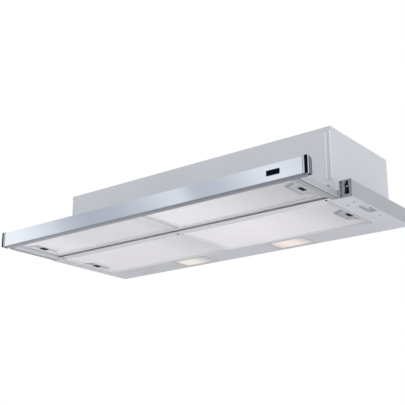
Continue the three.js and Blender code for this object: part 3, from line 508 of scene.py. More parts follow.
# painted shadow for the gaps beside the drawer arms' skirts
painted_gap_shadow = moulded("painted_gap_shadow", (0.035, 0.037, 0.043), 0.6, 900, 0.1, 0.2)
dark_screw = plated("dark_screw", (0.17, 0.18, 0.2), 0.35)
darker_screw = plated("darker_screw", (0.06, 0.065, 0.075), 0.35)
bulb_glass = lit_glass("bulb_glass")

FINISHES = (
    ("base_plate", under_enamel),
    ("front_crossbar", crossbar_enamel),
    ("rear_filter_divider", under_enamel),
    ("service_panel", under_enamel),
    ("wing_shell", wing_enamel),
    ("front_upstand", upstand_enamel),
    ("body_front_panel", panel_enamel),
    ("body_side_panel", side_enamel),
    ("body_", grey_enamel),
    ("drawer_frame", drawer_enamel),
    ("drawer_arm_left", left_arm_enamel),
    ("drawer_arm_right", right_arm_enamel),
    ("drawer_top_cover", grey_enamel),
    ("drawer_microswitch", black_plastic),
    ("fascia_panel", fascia_steel),
    ("end_cap", cap_plastic),
    ("blank_badge", gloss_black),
    ("filter_frame_front", front_frame_metal),
    ("filter_frame_rear", rear_frame_metal),
    ("filter_mesh", MESH_FINISHES["rear"][1]),
    ("latch_knob", black_plastic),
    ("light_slider", black_plastic),
    ("speed_slider", black_plastic),
    ("control_faceplate", face_plastic),
    ("control_housing", black_plastic),
    ("cable_gland", black_plastic),
    ("rail_", slide_zinc),
    ("motor_capacitor", white_plastic),
    ("motor_", collar_zinc),
    ("duct_collar", collar_zinc),
    ("damper_flap", flap_aluminium),
    ("impeller", wheel_plastic),
    ("blower_scroll", white_plastic),
    ("terminal_box", white_plastic),
    ("lamp_housing", white_plastic),
    ("lamp_bulb", bulb_glass),
)


BULB_SHIFT = {"left": 0.017, "right": 0.006}  # metres that each bulb sits left of its lens' middle


def finish_of(name):
    """The finish of a CAD node, from the start of its name."""
    if name.startswith("lamp_lens"):
        low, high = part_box(name)
        bulb = (low + high) / 2 - Vector((BULB_SHIFT[name.split("_")[-1]], 0, 0))
        return glowing_lens("glow_" + name, bulb)
    for start, material in FINISHES:
        if name.startswith(start):
            return material
    raise ValueError("no finish for " + name)


# ------------------------------------------------------------------ pieces
def plain(name, mesh, material, body):
    """A finished mesh as a piece: its object at the origin, riding on a body."""
    piece = bpy.data.objects.new(name, mesh)
    bpy.context.scene.collection.objects.link(piece)
    mesh.materials.clear()
    mesh.materials.append(material)
    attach(piece, body)
    return piece


def settled(name, source):
    """An object's evaluated shape as a plain mesh. The object itself is removed."""
    graph = bpy.context.evaluated_depsgraph_get()
    mesh = bpy.data.meshes.new_from_object(source.evaluated_get(graph))
    mesh.name = name
    bpy.data.objects.remove(source)
    return mesh


FOLD = 0.0016  # outer radius where sheet is folded
PRESSED = 0.0008  # round on light aluminium and steel sheet
MOULD = 0.0005  # round on moulded edges
CREASE = math.radians(25)  # a turn sharper than this is an edge
SAME = 2e-6  # metres within which a CAD mesh's points are one
FLAT = math.radians(0.5)  # faces within this turn are one
WIDEST = 1.0  # metres, more than any face
PARALLEL = 1e-9  # metres of run under which an edge never crosses the inward line
NEAR = 1e-6  # metres under which a crossing is the edge itself


def clear_width(face, edge):
    """How far a face runs inward from one of its edges before it meets another edge."""
    loop = next(l for l in face.loops if l.edge == edge)
    start = loop.vert.co
    along = loop.link_loop_next.vert.co - start
    length = along.length
    along /= length
    inward = face.normal.cross(along)
    nearest = WIDEST
    for share in (0.2, 0.5, 0.8):
        here = length * share
        for other in face.loops:
            if other.edge == edge:
                continue
            a = other.vert.co - start
            b = other.link_loop_next.vert.co - start
            u0, u1 = a.dot(along) - here, b.dot(along) - here
            if u0 * u1 > 0 or abs(u1 - u0) < PARALLEL:
                continue
            reach = a.dot(inward) + (b - a).dot(inward) * u0 / (u0 - u1)
            if reach > NEAR:
                nearest = min(nearest, reach)
    return nearest


def weigh_edges(shape, radius):
    """Marks the outer edges that have room for their rounding. Sheet rims stay as cut."""
    weights = shape.edges.layers.float.new("bevel_weight_edge")
    for edge in shape.edges:
        if len(edge.link_faces) != 2:
            continue
        angle = edge.calc_face_angle_signed(0)
        if abs(angle) < CREASE:
            continue
        edge.smooth = False
        if angle > 0 and edge.calc_length() > 2 * radius:
            room = min(clear_width(face, edge) for face in edge.link_faces)
            if room > 2.2 * radius:
                edge[weights] = 1.0
                edge.smooth = True


def rounded(name, mesh, radius):
    """Rounds a mesh's outer edges, as folded sheet and moulded plastic are."""
    shape = bmesh.new()
    shape.from_mesh(mesh)
    bmesh.ops.remove_doubles(shape, verts=shape.verts, dist=SAME)
    bmesh.ops.dissolve_limit(shape, angle_limit=FLAT, verts=shape.verts, edges=shape.edges)
    weigh_edges(shape, radius)
    out = bpy.data.meshes.new(name)
    shape.to_mesh(out)
    shape.free()
    for polygon in out.polygons:
        polygon.use_smooth = True
    holder = bpy.data.objects.new(name + "_edges", out)
    bpy.context.scene.collection.objects.link(holder)
    bevel = holder.modifiers.new("edges", "BEVEL")
    bevel.limit_method = "WEIGHT"
    bevel.width = radius
    bevel.segments = 2
    bevel.use_clamp_overlap = False
    bevel.harden_normals = True
    return settled(name, holder)


def soften(node, radius):
    """Stands for a CAD node with its outer edges rounded."""
    mesh = rounded("soft_" + node, nodes[node].data, radius)
    piece = plain("soft_" + node, mesh, finish_of(node), body_of_node(node))
    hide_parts(node)


SOFT_EDGES = {
    "base_plate": PRESSED,
    "front_crossbar": PRESSED,
    "wing_shell_left": FOLD,
    "wing_shell_right": FOLD,
    "front_upstand": PRESSED,
    "body_front_panel": PRESSED,
    "body_side_panel_left": FOLD,
    "body_side_panel_right": FOLD,
    "body_back_panel": PRESSED,
    "body_top_panel": PRESSED,
    "duct_collar": PRESSED,
    "cable_gland": MOULD,
    "control_faceplate": MOULD,
    "light_slider": MOULD,
    "speed_slider": MOULD,
    "fascia_panel": FOLD,
    "blank_badge": MOULD,
    "drawer_frame": PRESSED,
    "drawer_top_cover": PRESSED,
    "drawer_arm_left": PRESSED,
    "drawer_arm_right": PRESSED,
    "service_panel": PRESSED,
    "lamp_lens_left": MOULD,
    "lamp_lens_right": MOULD,
}
for kind in FILTERS:
    SOFT_EDGES["filter_frame_" + kind] = PRESSED

for name, node in nodes.items():
    node.data.materials.clear()
    node.data.materials.append(finish_of(name))
for name, radius in SOFT_EDGES.items():
    soften(name, radius)


def extruded(name, outline, along, start, end):
    """A closed outline of points in one plane, carried from start to end along an axis."""
    shape = bmesh.new()
    axis = Vector(along)
    near = [shape.verts.new(Vector(p) + axis * start) for p in outline]
    far = [shape.verts.new(Vector(p) + axis * end) for p in outline]
    count = len(outline)
    shape.faces.new(near)
    shape.faces.new(reversed(far))
    for i in range(count):
        j = (i + 1) % count
        shape.faces.new((near[j], near[i], far[i], far[j]))
    bmesh.ops.recalc_face_normals(shape, faces=shape.faces)
    mesh = bpy.data.meshes.new(name)
    shape.to_mesh(mesh)
    shape.free()
    return mesh


def slab(x0, x1, y0, y1, z0, z1, corner):
    """A flat block with round corners, in millimetres from the front and the underside."""
    outline = []
    steps = 5
    for cx, cy, first in (
        (x1 - corner, y1 - corner, 0),
        (x0 + corner, y1 - corner, 90),
        (x0 + corner, y0 + corner, 180),
        (x1 - corner, y0 + corner, 270),
    ):
        for i in range(steps + 1):
            turn = math.radians(first + 90 * i / steps)
            outline.append(at(cx + corner * math.cos(turn), cy + corner * math.sin(turn), z0))
    return extruded("slab", outline, (0, 0, 1), 0, (z1 - z0) / 1000)


def joined(name, meshes):
    """Several closed meshes as one."""
    shape = bmesh.new()
    for mesh in meshes:
        shape.from_mesh(mesh)
        bpy.data.meshes.remove(mesh)
    out = bpy.data.meshes.new(name)
    shape.to_mesh(out)
    shape.free()
    return out


# ------------------------------------------------------------------ end caps
# Millimetres from the body's front and the underside, and the radii of the round corners.
CAP = {"front": -188.8, "rear": -168.8, "bottom": 1.6, "top": 38.6, "shoulder": 8.0, "nose": 2.0}
# Each layer of a cap: from and to along the width, then its front and its rear.
CAP_LAYERS = {
    "core": (438.6, 448.6, CAP["front"] + 0.5, CAP["rear"]),
    "plate": (443.6, 448.9, -182.3, CAP["rear"]),
    "strip": (439.5, 443.3, CAP["front"], CAP["front"] + 6),
    # the line is a painted highlight on the corner
    "line": (443.6, 449.2, -184.7, -182.5),
    "insert": (443.5, 449.0, CAP["front"], -184.9),
}
ARC_STEPS = 6  # straight pieces in each round corner


def cap_outline(front, rear, grow):
    """The cap's section between two depths, in Y and Z, with its round corners."""
    points = []
    bottom = CAP["bottom"] - grow
    top = CAP["top"] + grow

    def arc(cy, cz, radius, first, last):
        for i in range(ARC_STEPS + 1):
            turn = math.radians(first + (last - first) * i / ARC_STEPS)
            points.append((cy + radius * math.cos(turn), cz + radius * math.sin(turn)))

    if rear < CAP["rear"]:
        points += [(rear, bottom), (rear, top)]
    else:
        nose, shoulder = CAP["nose"], CAP["shoulder"]
        arc(rear - nose, bottom + nose, nose, -90, 0)
        arc(rear - shoulder, top - shoulder, shoulder, 0, 90)
    if front > CAP["front"]:
        points += [(front, top), (front, bottom)]
    else:
        nose = CAP["nose"] / 2
        arc(front + nose, top - nose, nose, 90, 180)
        points.append((front, bottom))
    return [at(0, y, z) for y, z in points]


def cap_part(layer, sign, grow=0.0):
    """One layer of a cap, grown a little above and below its neighbours."""
    near, far, front, rear = CAP_LAYERS[layer]
    low, high = sorted((sign * near / 1000, sign * far / 1000))
    return extruded(layer, cap_outline(front, rear, grow), (1, 0, 0), low, high)


def end_cap(side, sign):
    """A bright strip beside the fascia, a black insert round the corner, a bright line behind it that
    is a painted highlight on that corner, and a grey side plate."""
    grey = joined("cap", [cap_part("core", sign), cap_part("plate", sign)])
    mesh = rounded("cap_body_" + side, grey, MOULD)
    body = plain("cap_body_" + side, mesh, cap_plastic, "drawer")
    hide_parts("end_cap_" + side)
    for start, layer, grow, material, slot in (
        ("cap_bright_", "strip", 0.0, bright_trim, "brushed_steel"),
        ("cap_highlight_", "line", 0.05, bright_edge, "brushed_steel"),
        ("cap_black_", "insert", 0.0, gloss_black, "black_plastic"),
    ):
        mesh = rounded(start + side, cap_part(layer, sign, grow), MOULD)
        plain(start + side, mesh, material, "drawer")


for side, sign in SIDES:
    end_cap(side, sign)


# ------------------------------------------------------------------ geometry node trees
def start_tree(name, sizes):
    """A tree with a geometry input, named inputs for its sizes, and a geometry output."""
    tree = bpy.data.node_groups.new(name, "GeometryNodeTree")
    tree.interface.new_socket("Geometry", in_out="INPUT", socket_type="NodeSocketGeometry")
    for label, kind in sizes:
        tree.interface.new_socket(label, in_out="INPUT", socket_type=kind)
    tree.interface.new_socket("Material", in_out="INPUT", socket_type="NodeSocketMaterial")
    tree.interface.new_socket("Geometry", in_out="OUTPUT", socket_type="NodeSocketGeometry")
    return tree, put(tree, "NodeGroupInput").outputs


def finish_tree(tree, shape, given):
    """Ends a tree in real geometry with its material."""
    real = put(tree, "GeometryNodeRealizeInstances", {"Geometry": shape})
    inputs = {"Geometry": real.outputs[0], "Material": given["Material"]}
    coated = put(tree, "GeometryNodeSetMaterial", inputs)
    put(tree, "NodeGroupOutput", {"Geometry": coated.outputs[0]})
    return tree


RECESS_LENGTH, RECESS_WIDTH = 1.15, 0.24  # a screw's cross recess, in head radii


def screw_tree():
    """A domed head with a cross recess on every point, all turned one way."""
    sizes = (
        ("Head Radius", "NodeSocketFloat"),
        ("Head Height", "NodeSocketFloat"),
        ("Turn", "NodeSocketVector"),
    )
    tree, given = start_tree("screw_heads", sizes)
    radius, height = given["Head Radius"], given["Head Height"]
    inputs = {"Segments": 20, "Rings": 10, "Radius": radius}
    ball = put(tree, "GeometryNodeMeshUVSphere", inputs).outputs["Mesh"]
    flat = number(tree, "DIVIDE", height, radius)
    squat = put(tree, "ShaderNodeCombineXYZ", {"X": 1.0, "Y": 1.0, "Z": flat}).outputs[0]
    dome = put(tree, "GeometryNodeTransform", {"Geometry": ball, "Scale": squat}).outputs[0]
    length = number(tree, "MULTIPLY", radius, RECESS_LENGTH)
    width = number(tree, "MULTIPLY", radius, RECESS_WIDTH)
    slots = []
    for x, y in ((length, width), (width, length)):
        size = put(tree, "ShaderNodeCombineXYZ", {"X": x, "Y": y, "Z": height}).outputs[0]
        bar = put(tree, "GeometryNodeMeshCube", {"Size": size}).outputs["Mesh"]
        rise = put(tree, "ShaderNodeCombineXYZ", {"Z": height}).outputs[0]
        moved = put(tree, "GeometryNodeTransform", {"Geometry": bar, "Translation": rise})
        slots.append(moved.outputs[0])
    head = put(tree, "GeometryNodeMeshBoolean", {"Mesh 1": dome}, operation="DIFFERENCE")
    for bar in slots:
        tree.links.new(bar, head.inputs["Mesh 2"])
    turned = put(tree, "FunctionNodeEulerToRotation", {"Euler": given["Turn"]}).outputs[0]
    inputs = {"Points": given["Geometry"], "Instance": head.outputs["Mesh"], "Rotation": turned}
    placed = put(tree, "GeometryNodeInstanceOnPoints", inputs).outputs[0]
    return finish_tree(tree, placed, given)


def ridge_tree():
    """A round rod laid along every edge of the source, for beads, grips and marks."""
    tree, given = start_tree("ridges", (("Radius", "NodeSocketFloat"),))
    path = put(tree, "GeometryNodeMeshToCurve", {"Mesh": given["Geometry"]}).outputs[0]
    inputs = {"Resolution": 10, "Radius": given["Radius"]}
    ring = put(tree, "GeometryNodeCurvePrimitiveCircle", inputs).outputs["Curve"]
    inputs = {"Curve": path, "Profile Curve": ring, "Fill Caps": True}
    rod = put(tree, "GeometryNodeCurveToMesh", inputs).outputs[0]
    return finish_tree(tree, rod, given)


def mesh_tree():
    """Expanded metal: a kite-shaped strand with a slanted section on every point."""
    sizes = (
        ("Long Way", "NodeSocketFloat"),
        ("Short Way", "NodeSocketFloat"),
        ("Strand", "NodeSocketFloat"),
        ("Thickness", "NodeSocketFloat"),
        ("Slant", "NodeSocketFloat"),
    )
    tree, given = start_tree("expanded_metal", sizes)
    outline = "GeometryNodeCurvePrimitiveQuadrilateral"
    half = number(tree, "MULTIPLY", given["Short Way"], 0.5)
    inputs = {"Width": given["Long Way"], "Bottom Height": half, "Top Height": half}
    kite = put(tree, outline, inputs, mode="KITE").outputs[0]
    inputs = {"Width": given["Strand"], "Height": given["Thickness"]}
    bar = put(tree, outline, inputs, mode="RECTANGLE").outputs[0]
    lean = put(tree, "ShaderNodeCombineXYZ", {"Z": given["Slant"]}).outputs[0]
    lean = put(tree, "FunctionNodeEulerToRotation", {"Euler": lean}).outputs[0]
    section = put(tree, "GeometryNodeTransform", {"Geometry": bar, "Rotation": lean}).outputs[0]
    inputs = {"Curve": kite, "Profile Curve": section}
    strand = put(tree, "GeometryNodeCurveToMesh", inputs).outputs[0]
    inputs = {"Points": given["Geometry"], "Instance": strand}
    placed = put(tree, "GeometryNodeInstanceOnPoints", inputs).outputs[0]
    return finish_tree(tree, placed, given)


SCREWS = screw_tree()
RIDGES = ridge_tree()
EXPANDED = mesh_tree()


def grown(name, tree, points, edges, values, material):
    """Runs a tree on points and edges and returns the plain mesh it makes."""
    source = bpy.data.meshes.new(name + "_source")
    source.from_pydata([tuple(p) for p in points], edges, [])
    holder = bpy.data.objects.new(name + "_holder", source)
    bpy.context.scene.collection.objects.link(holder)
    growth = holder.modifiers.new("growth", "NODES")
    growth.node_group = tree
    for item in tree.interface.items_tree:
        if item.in_out == "INPUT" and item.name in values:
            growth[item.identifier] = values[item.name]
        if item.in_out == "INPUT" and item.name == "Material":
            growth[item.identifier] = material
    return settled(name, holder)


def smooth_by_angle(mesh):
    """Smooth shading, with edges sharper than 35 degrees kept crisp."""
    for polygon in mesh.polygons:
        polygon.use_smooth = True
    mesh.set_sharp_from_angle(angle=math.radians(35))


# ------------------------------------------------------------------ screws
TURNS = {
    "up": (0, 0, 0),
    "down": (math.pi, 0, 0),
    "front": (math.pi / 2, 0, 0),
    "back": (-math.pi / 2, 0, 0),
}


def screws(name, way, places, material, radius, height):
    """Screw heads that look one way, at places in millimetres."""
    values = {
        "Head Radius": radius / 1000,
        "Head Height": height / 1000,
        "Turn": TURNS[way],
    }
    mesh = grown(name, SCREWS, [at(*p) for p in places], [], values, material)
    smooth_by_angle(mesh)
    plain(name, mesh, material, "housing")


COLLAR_MIDDLE = 155.8  # the duct's middle behind the body's front
crossbar_places = [(-404, -18, 0), (-17, -12, 0), (391, -17.6, 0)]
upstand_places = [(-387, 0, 37.3), (387, 0, 37.3)]
wing_places = [(432, 26, 0), (431, 147, 0), (411, 40, 0), (-432, 26, 0), (-431, 147, 0)]
pocket_places = [(434.8, 94, 3.3), (433.2, 107, 3.3)]
collar_places = [(x, COLLAR_MIDDLE + y, 175.6) for x in (-48, 48) for y in (-48, 48)]
top_places = [(x, y, 174) for x in (-388, -130, 130, 388) for y in (11, 256)]
back_places = [(x, 267, z) for x in (-388, 388) for z in (60, 155)]
screws("crossbar_screws", "down", crossbar_places, darker_screw, 3.5, 1.1)
screws("upstand_screws", "front", upstand_places, dark_screw, 3.6, 1.3)
screws("wing_screws", "down", wing_places, dark_screw, 2.2, 0.8)
screws("pocket_screws", "down", pocket_places, dark_screw, 3.0, 1.0)
screws("collar_screws", "up", collar_places, slide_zinc, 3.0, 1.2)
screws("top_screws", "up", top_places, slide_zinc, 3.0, 1.1)
screws("back_screws", "back", back_places, slide_zinc, 3.0, 1.1)


# ------------------------------------------------------------------ beads, grips and marks
def ridges(name, lines, radius, material, body):
    """Rods along straight lines or closed rings, each a list of places in millimetres."""
    points, edges = [], []
    for line, closed in lines:
        first = len(points)
        points += [at(*p) for p in line]
        edges += [(first + i, first + i + 1) for i in range(len(line) - 1)]
        if closed:
            edges.append((len(points) - 1, first))
    mesh = grown(name, RIDGES, points, edges, {"Radius": radius / 1000}, material)
    smooth_by_angle(mesh)
    plain(name, mesh, material, body)


# Two upright beads on the flange that each side panel folds on to the front, painted pale as
# highlights on the folds.
for side, sign in SIDES:
    beads = [([(sign * x, 1.0, 53), (sign * x, 1.0, 163)], False) for x in (385.6, 397.1)]
    ridges("corner_beads_" + side, beads, 1.8, bead_highlight_enamel, "housing")


def ring(x, y, z, radius):
    """A ring's points, seen from the front."""
    turns = [2 * math.pi * i / 20 for i in range(20)]
    return [(x + radius * math.cos(a), y, z + radius * math.sin(a)) for a in turns]


def plate_on(name, x0, x1, y0, y1, z0, z1, material, slot):
    """A thin square-cornered plate on the housing between two places in millimetres."""
    outline = [at(x0, y0, z0), at(x1, y0, z0), at(x1, y1, z0), at(x0, y1, z0)]
    mesh = rounded(name, extruded(name, outline, (0, 0, 1), 0, (z1 - z0) / 1000), 0.00005)
    plain(name, mesh, material, "housing")


FACE_FRONT = -15.0  # the control plate's front, in millimetres
SLOT_FLOOR = -13.5  # floor of the sliders' recesses in it
SINK = 0.1  # how deep a strip or a slot's floor is let into the plate
LEGEND_PROUD, FLOOR_PROUD, MARK_PROUD = 0.12, 0.14, 0.15  # how far each stands out of it
LAMP_SIGN = (425.7, 33.4)  # X and Z of its middle
LAMP_RADIUS, RAY_START, RAY_END = 1.3, 1.9, 2.6
SPEED_BARS = (4.5, 15.5, 23.5)  # their heights, the longest on top


def face_marks():
    """A darker strip with a small lamp sign and three lengthening bars, and black slot floors."""
    front, back = FACE_FRONT - LEGEND_PROUD, FACE_FRONT + SINK
    plate_on("face_legend", 422.7, 428.6, front, back, 1.2, 36.8, legend_plastic, "grey_plastic")
    for name, x0, x1, z0, z1 in (
        ("speed_slot_left", 434.45, 437.3, 6.6, 23.3),
        ("speed_slot_right", 440.7, 443.55, 6.6, 23.3),
        ("light_slot", 440.0, 442.6, 24.85, 35.1),
    ):
        front, back = SLOT_FLOOR - FLOOR_PROUD, SLOT_FLOOR + SINK
        plate_on(name, x0, x1, front, back, z0, z1, gloss_black, "black_plastic")
    x, z = LAMP_SIGN
    y = FACE_FRONT - MARK_PROUD
    lines = [(ring(x, y, z, LAMP_RADIUS), True)]
    for turn in range(0, 360, 45):
        a = math.radians(turn)
        ray = [(x + r * math.cos(a), y, z + r * math.sin(a)) for r in (RAY_START, RAY_END)]
        lines.append((ray, False))
    for i, z in enumerate(SPEED_BARS):
        half = 1.1 + 0.5 * i
        lines += [([(x - half, y, z + d), (x + half, y, z + d)], False) for d in (-0.5, 0.5)]
    ridges("face_marks", lines, 0.4, mark_print, "housing")


face_marks()
GRIP_INSET = 0.9  # from a slider's side to the end of its raised lines


def grips(name, node, body, count, radius, pitch):
    """Raised lines across a slider's front."""
    low, high = box_mm(node)
    lines = []
    for i in range(count):
        z = (low.z + high.z) / 2 + (i - (count - 1) / 2) * pitch
        ends = [(low.x + GRIP_INSET, low.y, z), (high.x - GRIP_INSET, low.y, z)]
        lines.append((ends, False))
    ridges(name, lines, radius, black_plastic, body)


grips("light_grips", "light_slider", "light_switch", 2, 0.3, 1.6)
grips("speed_grips", "speed_slider", "speed_switch", 4, 0.35, 1.7)


# ------------------------------------------------------------------ latches in their trays
LEVEL_DROP = 0.3  # the level that heights here count from, in millimetres below the knob
PLATE_UNDER, PLATE_TOP, GRIP_TOP = 1.3, 2.3, 1.5  # heights over that level
GRIP_HALF = 10.5  # half of the grip's length
GRIP_BACK = 3.0  # how far its middle lies behind the plate's
GRIP_WIDER = 1.2  # how far it reaches past the plate on either side
RIB_PITCH, RIB_HALF = 2.2, 6.0  # between the grip's ribs, and half the length of one
# A tray narrows from a filter's outer end inward: millimetres from the outer edge of the frame,
# and half its length there.
TRAY_OUTER, TRAY_INNER = 6.3, 32.7
TRAY_HALVES = (45.6, 32.8)
RAMP_HALVES = (45.4, 32.7)
# The ramp along a tray's front edge, a dark sheet that is painted shade: its width in millimetres, its
# height over that level in metres, and its share of the tray's tone, for the right and the left
# filters.
SHADE_RAMPS = {1: (12.0, 0.0019, 0.55), -1: (8.0, 0.0001, 0.25)}
RAMP_SHEET = 0.0005  # metres, as the two heights of the tray's floor
TRAY_UNDER, TRAY_TOP = 0.00235, 0.00255


def tray_plastic(name, color):
    """The satin grey of a tray or its ramp, in a tone that paints its light or shade."""
    return moulded(name, color, 0.45, 1400, 0.2, 0.3)


def latch_slide(kind):
    """A grey slide plate with a shorter black ribbed grip on it."""
    low, high = box_mm("latch_knob_" + kind)
    bottom = low.z - LEVEL_DROP
    body = "latch_" + kind
    under, top = bottom + PLATE_UNDER, bottom + PLATE_TOP
    plate = slab(low.x, high.x, low.y, high.y, under, top, 3.0)
    mesh = rounded("latch_plate_" + kind, plate, 0.0003)
    piece = plain("latch_plate_" + kind, mesh, slide_zinc, body)
    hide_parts("latch_knob_" + kind)
    middle = (low.y + high.y) / 2 + GRIP_BACK
    left, right = low.x - GRIP_WIDER, high.x + GRIP_WIDER
    front, rear = middle - GRIP_HALF, middle + GRIP_HALF
    grip = slab(left, right, front, rear, low.z, bottom + GRIP_TOP, 2.5)
    mesh = rounded("latch_grip_" + kind, grip, 0.0004)
    plain("latch_grip_" + kind, mesh, black_plastic, body)
    lines = []
    for step in (-1, 0, 1):
        x = (low.x + high.x) / 2 + RIB_PITCH * step
        lines.append(([(x, middle - RIB_HALF, low.z), (x, middle + RIB_HALF, low.z)], False))
    ridges("latch_ribs_" + kind, lines, 0.25, black_plastic, body)


def latch_tray(kind):
    """The tray floor that a latch slides over, with a darker ramp along its front edge as painted
    shade.
    """
    low, high = box_mm("latch_knob_" + kind)
    bottom = low.z - LEVEL_DROP
    centre = (low.y + high.y) / 2
    sign = side_sign(kind)
    outer = box_mm("filter_frame_" + kind)[max(sign, 0)].x
    far, near = outer - sign * TRAY_OUTER, outer - sign * TRAY_INNER
    wide, level, share = SHADE_RAMPS[sign]
    wider, narrower = RAMP_HALVES
    edge = [
        at(far, centre - wider, bottom),
        at(near, centre - narrower, bottom),
        at(near, centre - narrower + wide, bottom),
        at(far, centre - wider + wide, bottom),
    ]
    ramp = extruded("ramp", edge, (0, 0, 1), level, level + RAMP_SHEET)
    mesh = rounded("latch_shade_ramp_" + kind, ramp, 0.0001)
    finish = tray_plastic("ramp_" + kind, tone(TRAY_TONES[kind], share))
    plain("latch_shade_ramp_" + kind, mesh, finish, "filter_" + kind)
    wider, narrower = TRAY_HALVES
    outline = [
        at(far, centre - wider, bottom),
        at(far, centre + wider, bottom),
        at(near, centre + narrower, bottom),
        at(near, centre - narrower, bottom),
    ]
    floor = extruded("tray", outline, (0, 0, 1), TRAY_UNDER, TRAY_TOP)
    mesh = rounded("latch_tray_" + kind, floor, 0.0003)
    finish = tray_plastic("tray_" + kind, TRAY_TONES[kind])
    plain("latch_tray_" + kind, mesh, finish, "filter_" + kind)


for kind in FILTERS:
    latch_slide(kind)
    latch_tray(kind)


# ------------------------------------------------------------------ seams
def rectangle(node, grow, z):
    """A ring round a node's outline: front left, front right, rear right, rear left."""
    low, high = box_mm(node)
    x0, x1 = low.x - grow, high.x + grow
    y0, y1 = low.y - grow, high.y + grow
    return [(x0, y0, z), (x1, y0, z), (x1, y1, z), (x0, y1, z)]


def seam(name, lines, radius, shade, body="housing"):
    """Thin dark lines where two sheets meet, or a painted shadow in a gap."""
    ridges(name, lines, radius, shade, body)


corners = rectangle("filter_frame_rear_left", 0.2, 0.15)
seam("bay_seam_left", [([corners[0], corners[3], corners[2]], False)], 0.4, seam_soft)
corners = rectangle("filter_frame_rear_right", 0.2, 0.15)
seam("bay_seam_right", [(corners[1:], False)], 0.55, seam_grey)
rings = [(rectangle("lamp_lens_" + side, 0.3, 0.2), True) for side, sign in SIDES]
seam("lens_seams", rings, 0.5, seam_grey)

# A painted shadow in the gap beside each drawer arm's skirt, and the seam along its flange.
ARM_FRONT, ARM_REAR, ARM_SEAM_LEVEL = -164, 93, 1.5
for side, skirt in (("left", -445.0), ("right", 416.5)):
    sign = side_sign(side)
    for start, inward, radius, shade, slot in (
        ("skirt_gap_shadow_", 0.9, 0.8, painted_gap_shadow, "black_plastic"),
        ("flange_seam_", 9.8, 0.55, seam_grey, "dark_grey_plastic"),
    ):
        x = skirt - sign * inward
        line = [(x, ARM_FRONT, ARM_SEAM_LEVEL), (x, ARM_REAR, ARM_SEAM_LEVEL)]
        seam(start + side, [(line, False)], radius, shade, "drawer")

bar = [([(x, -156, 7), (x, -31, 7)], False) for x in (-4.2, 7.8)]
seam("bar_seams", bar, 0.5, seam_soft, "drawer")
seam("pocket_seam", [(rectangle("service_panel", 0.3, 0.1), True)], 0.4, seam_soft)

# ------------------------------------------------------------------ small sheet parts
# The baffle beside the controls, the tab at the crossbar's right end, the drawer's rear edge.
baffle = (417.8, 421.9, -12.5, -11.6, 1.6, 36.5)
plate_on("wing_baffle_right", *baffle, wing_enamel, "grey_paint")
tab = rounded("crossbar_tab", slab(391.3, 404.0, -26.0, -15.4, 0.0, 1.1, 0.8), 0.0002)
plain("crossbar_tab", tab, crossbar_enamel, "housing")
# The drawer's rear trim is painted pale, a bright strip against the shade above the crossbar, with
# painted light along the width.
trim = rounded("drawer_rear_trim", slab(-409.2, 398.6, -28.8, -12.2, 6.6, 7.0, 0.5), 0.0002)
plain("drawer_rear_trim", trim, drawer_trim, "drawer")

# ------------------------------------------------------------------ filter mesh
LONG_WAY, SHORT_WAY = 11.0, 5.2  # one diamond of the expanded metal, in millimetres
STRAND, STRAND_SHEET = 1.0, 0.3  # a strand's width and the thickness of its sheet
SLANT = math.radians(28)  # how far a strand's section leans
RIM = 3.2  # the frame's rim round the mesh
WEAVE_LEVEL = 1.55  # the strands' middle over the frame's underside
LAYERS_SUNK = 0.0007  # metres that the layers' underside lies deeper than the CAD slab's
LAYERS_SPLIT = 3.0  # between the layers' two sides, over the frame's underside
# The strands stay clear of the tray: it is even for a first length, then narrows. Millimetres.
CLEAR_EVEN, CLEAR_TAPER = 6, 27
CLEAR_HALF, CLEAR_NARROWS, CLEAR_MARGIN = 46, 13, 1


def in_tray(x, y, sign, outer, middle):
    """Whether a place lies over the latch tray in a filter's outer end."""
    reach = sign * (outer - x)
    if not 0 <= reach <= CLEAR_EVEN + CLEAR_TAPER + LONG_WAY / 2:
        return False
    narrowed = max(0.0, min(1.0, (reach - CLEAR_EVEN) / CLEAR_TAPER))
    half = CLEAR_HALF - CLEAR_NARROWS * narrowed + CLEAR_MARGIN + SHORT_WAY / 2
    return abs(y - middle) < half


def filter_pack(kind):
    """The outer layer of expanded metal, with the plainer layers behind it."""
    low, high = box_mm("filter_frame_" + kind)
    knob_low, knob_high = box_mm("latch_knob_" + kind)
    middle = (knob_low.y + knob_high.y) / 2
    sign = side_sign(kind)
    outer = (low, high)[max(sign, 0)].x
    left, right = low.x + RIM + LONG_WAY / 2, high.x - RIM - LONG_WAY / 2
    front, rear = low.y + RIM + SHORT_WAY / 2, high.y - RIM - SHORT_WAY / 2
    columns = int((right - left) / (LONG_WAY / 2))
    rows = int((rear - front) / (SHORT_WAY / 2))
    step_x = (right - left) / columns
    step_y = (rear - front) / rows
    points = []
    for i in range(columns + 1):
        for j in range(rows + 1):
            x, y = left + i * step_x, front + j * step_y
            if (i + j) % 2 == 0 and not in_tray(x, y, sign, outer, middle):
                points.append(at(x, y, low.z + WEAVE_LEVEL))
    values = {
        "Long Way": 2 * step_x / 1000,
        "Short Way": 2 * step_y / 1000,
        "Strand": STRAND / 1000,
        "Thickness": STRAND_SHEET / 1000,
        "Slant": SLANT,
    }
    strands, backing = MESH_FINISHES[kind.split("_")[0]]
    mesh = grown("mesh_weave_" + kind, EXPANDED, points, [], values, strands)
    plain("mesh_weave_" + kind, mesh, strands, "filter_" + kind)
    back = nodes["filter_mesh_" + kind].data.copy()
    split = at(0, 0, low.z + LAYERS_SPLIT).z
    for vertex in back.vertices:
        if vertex.co.z < split:
            vertex.co.z += LAYERS_SUNK
    layers = plain("mesh_layers_" + kind, back, backing, "filter_" + kind)
    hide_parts("filter_mesh_" + kind)


for kind in FILTERS:
    filter_pack(kind)


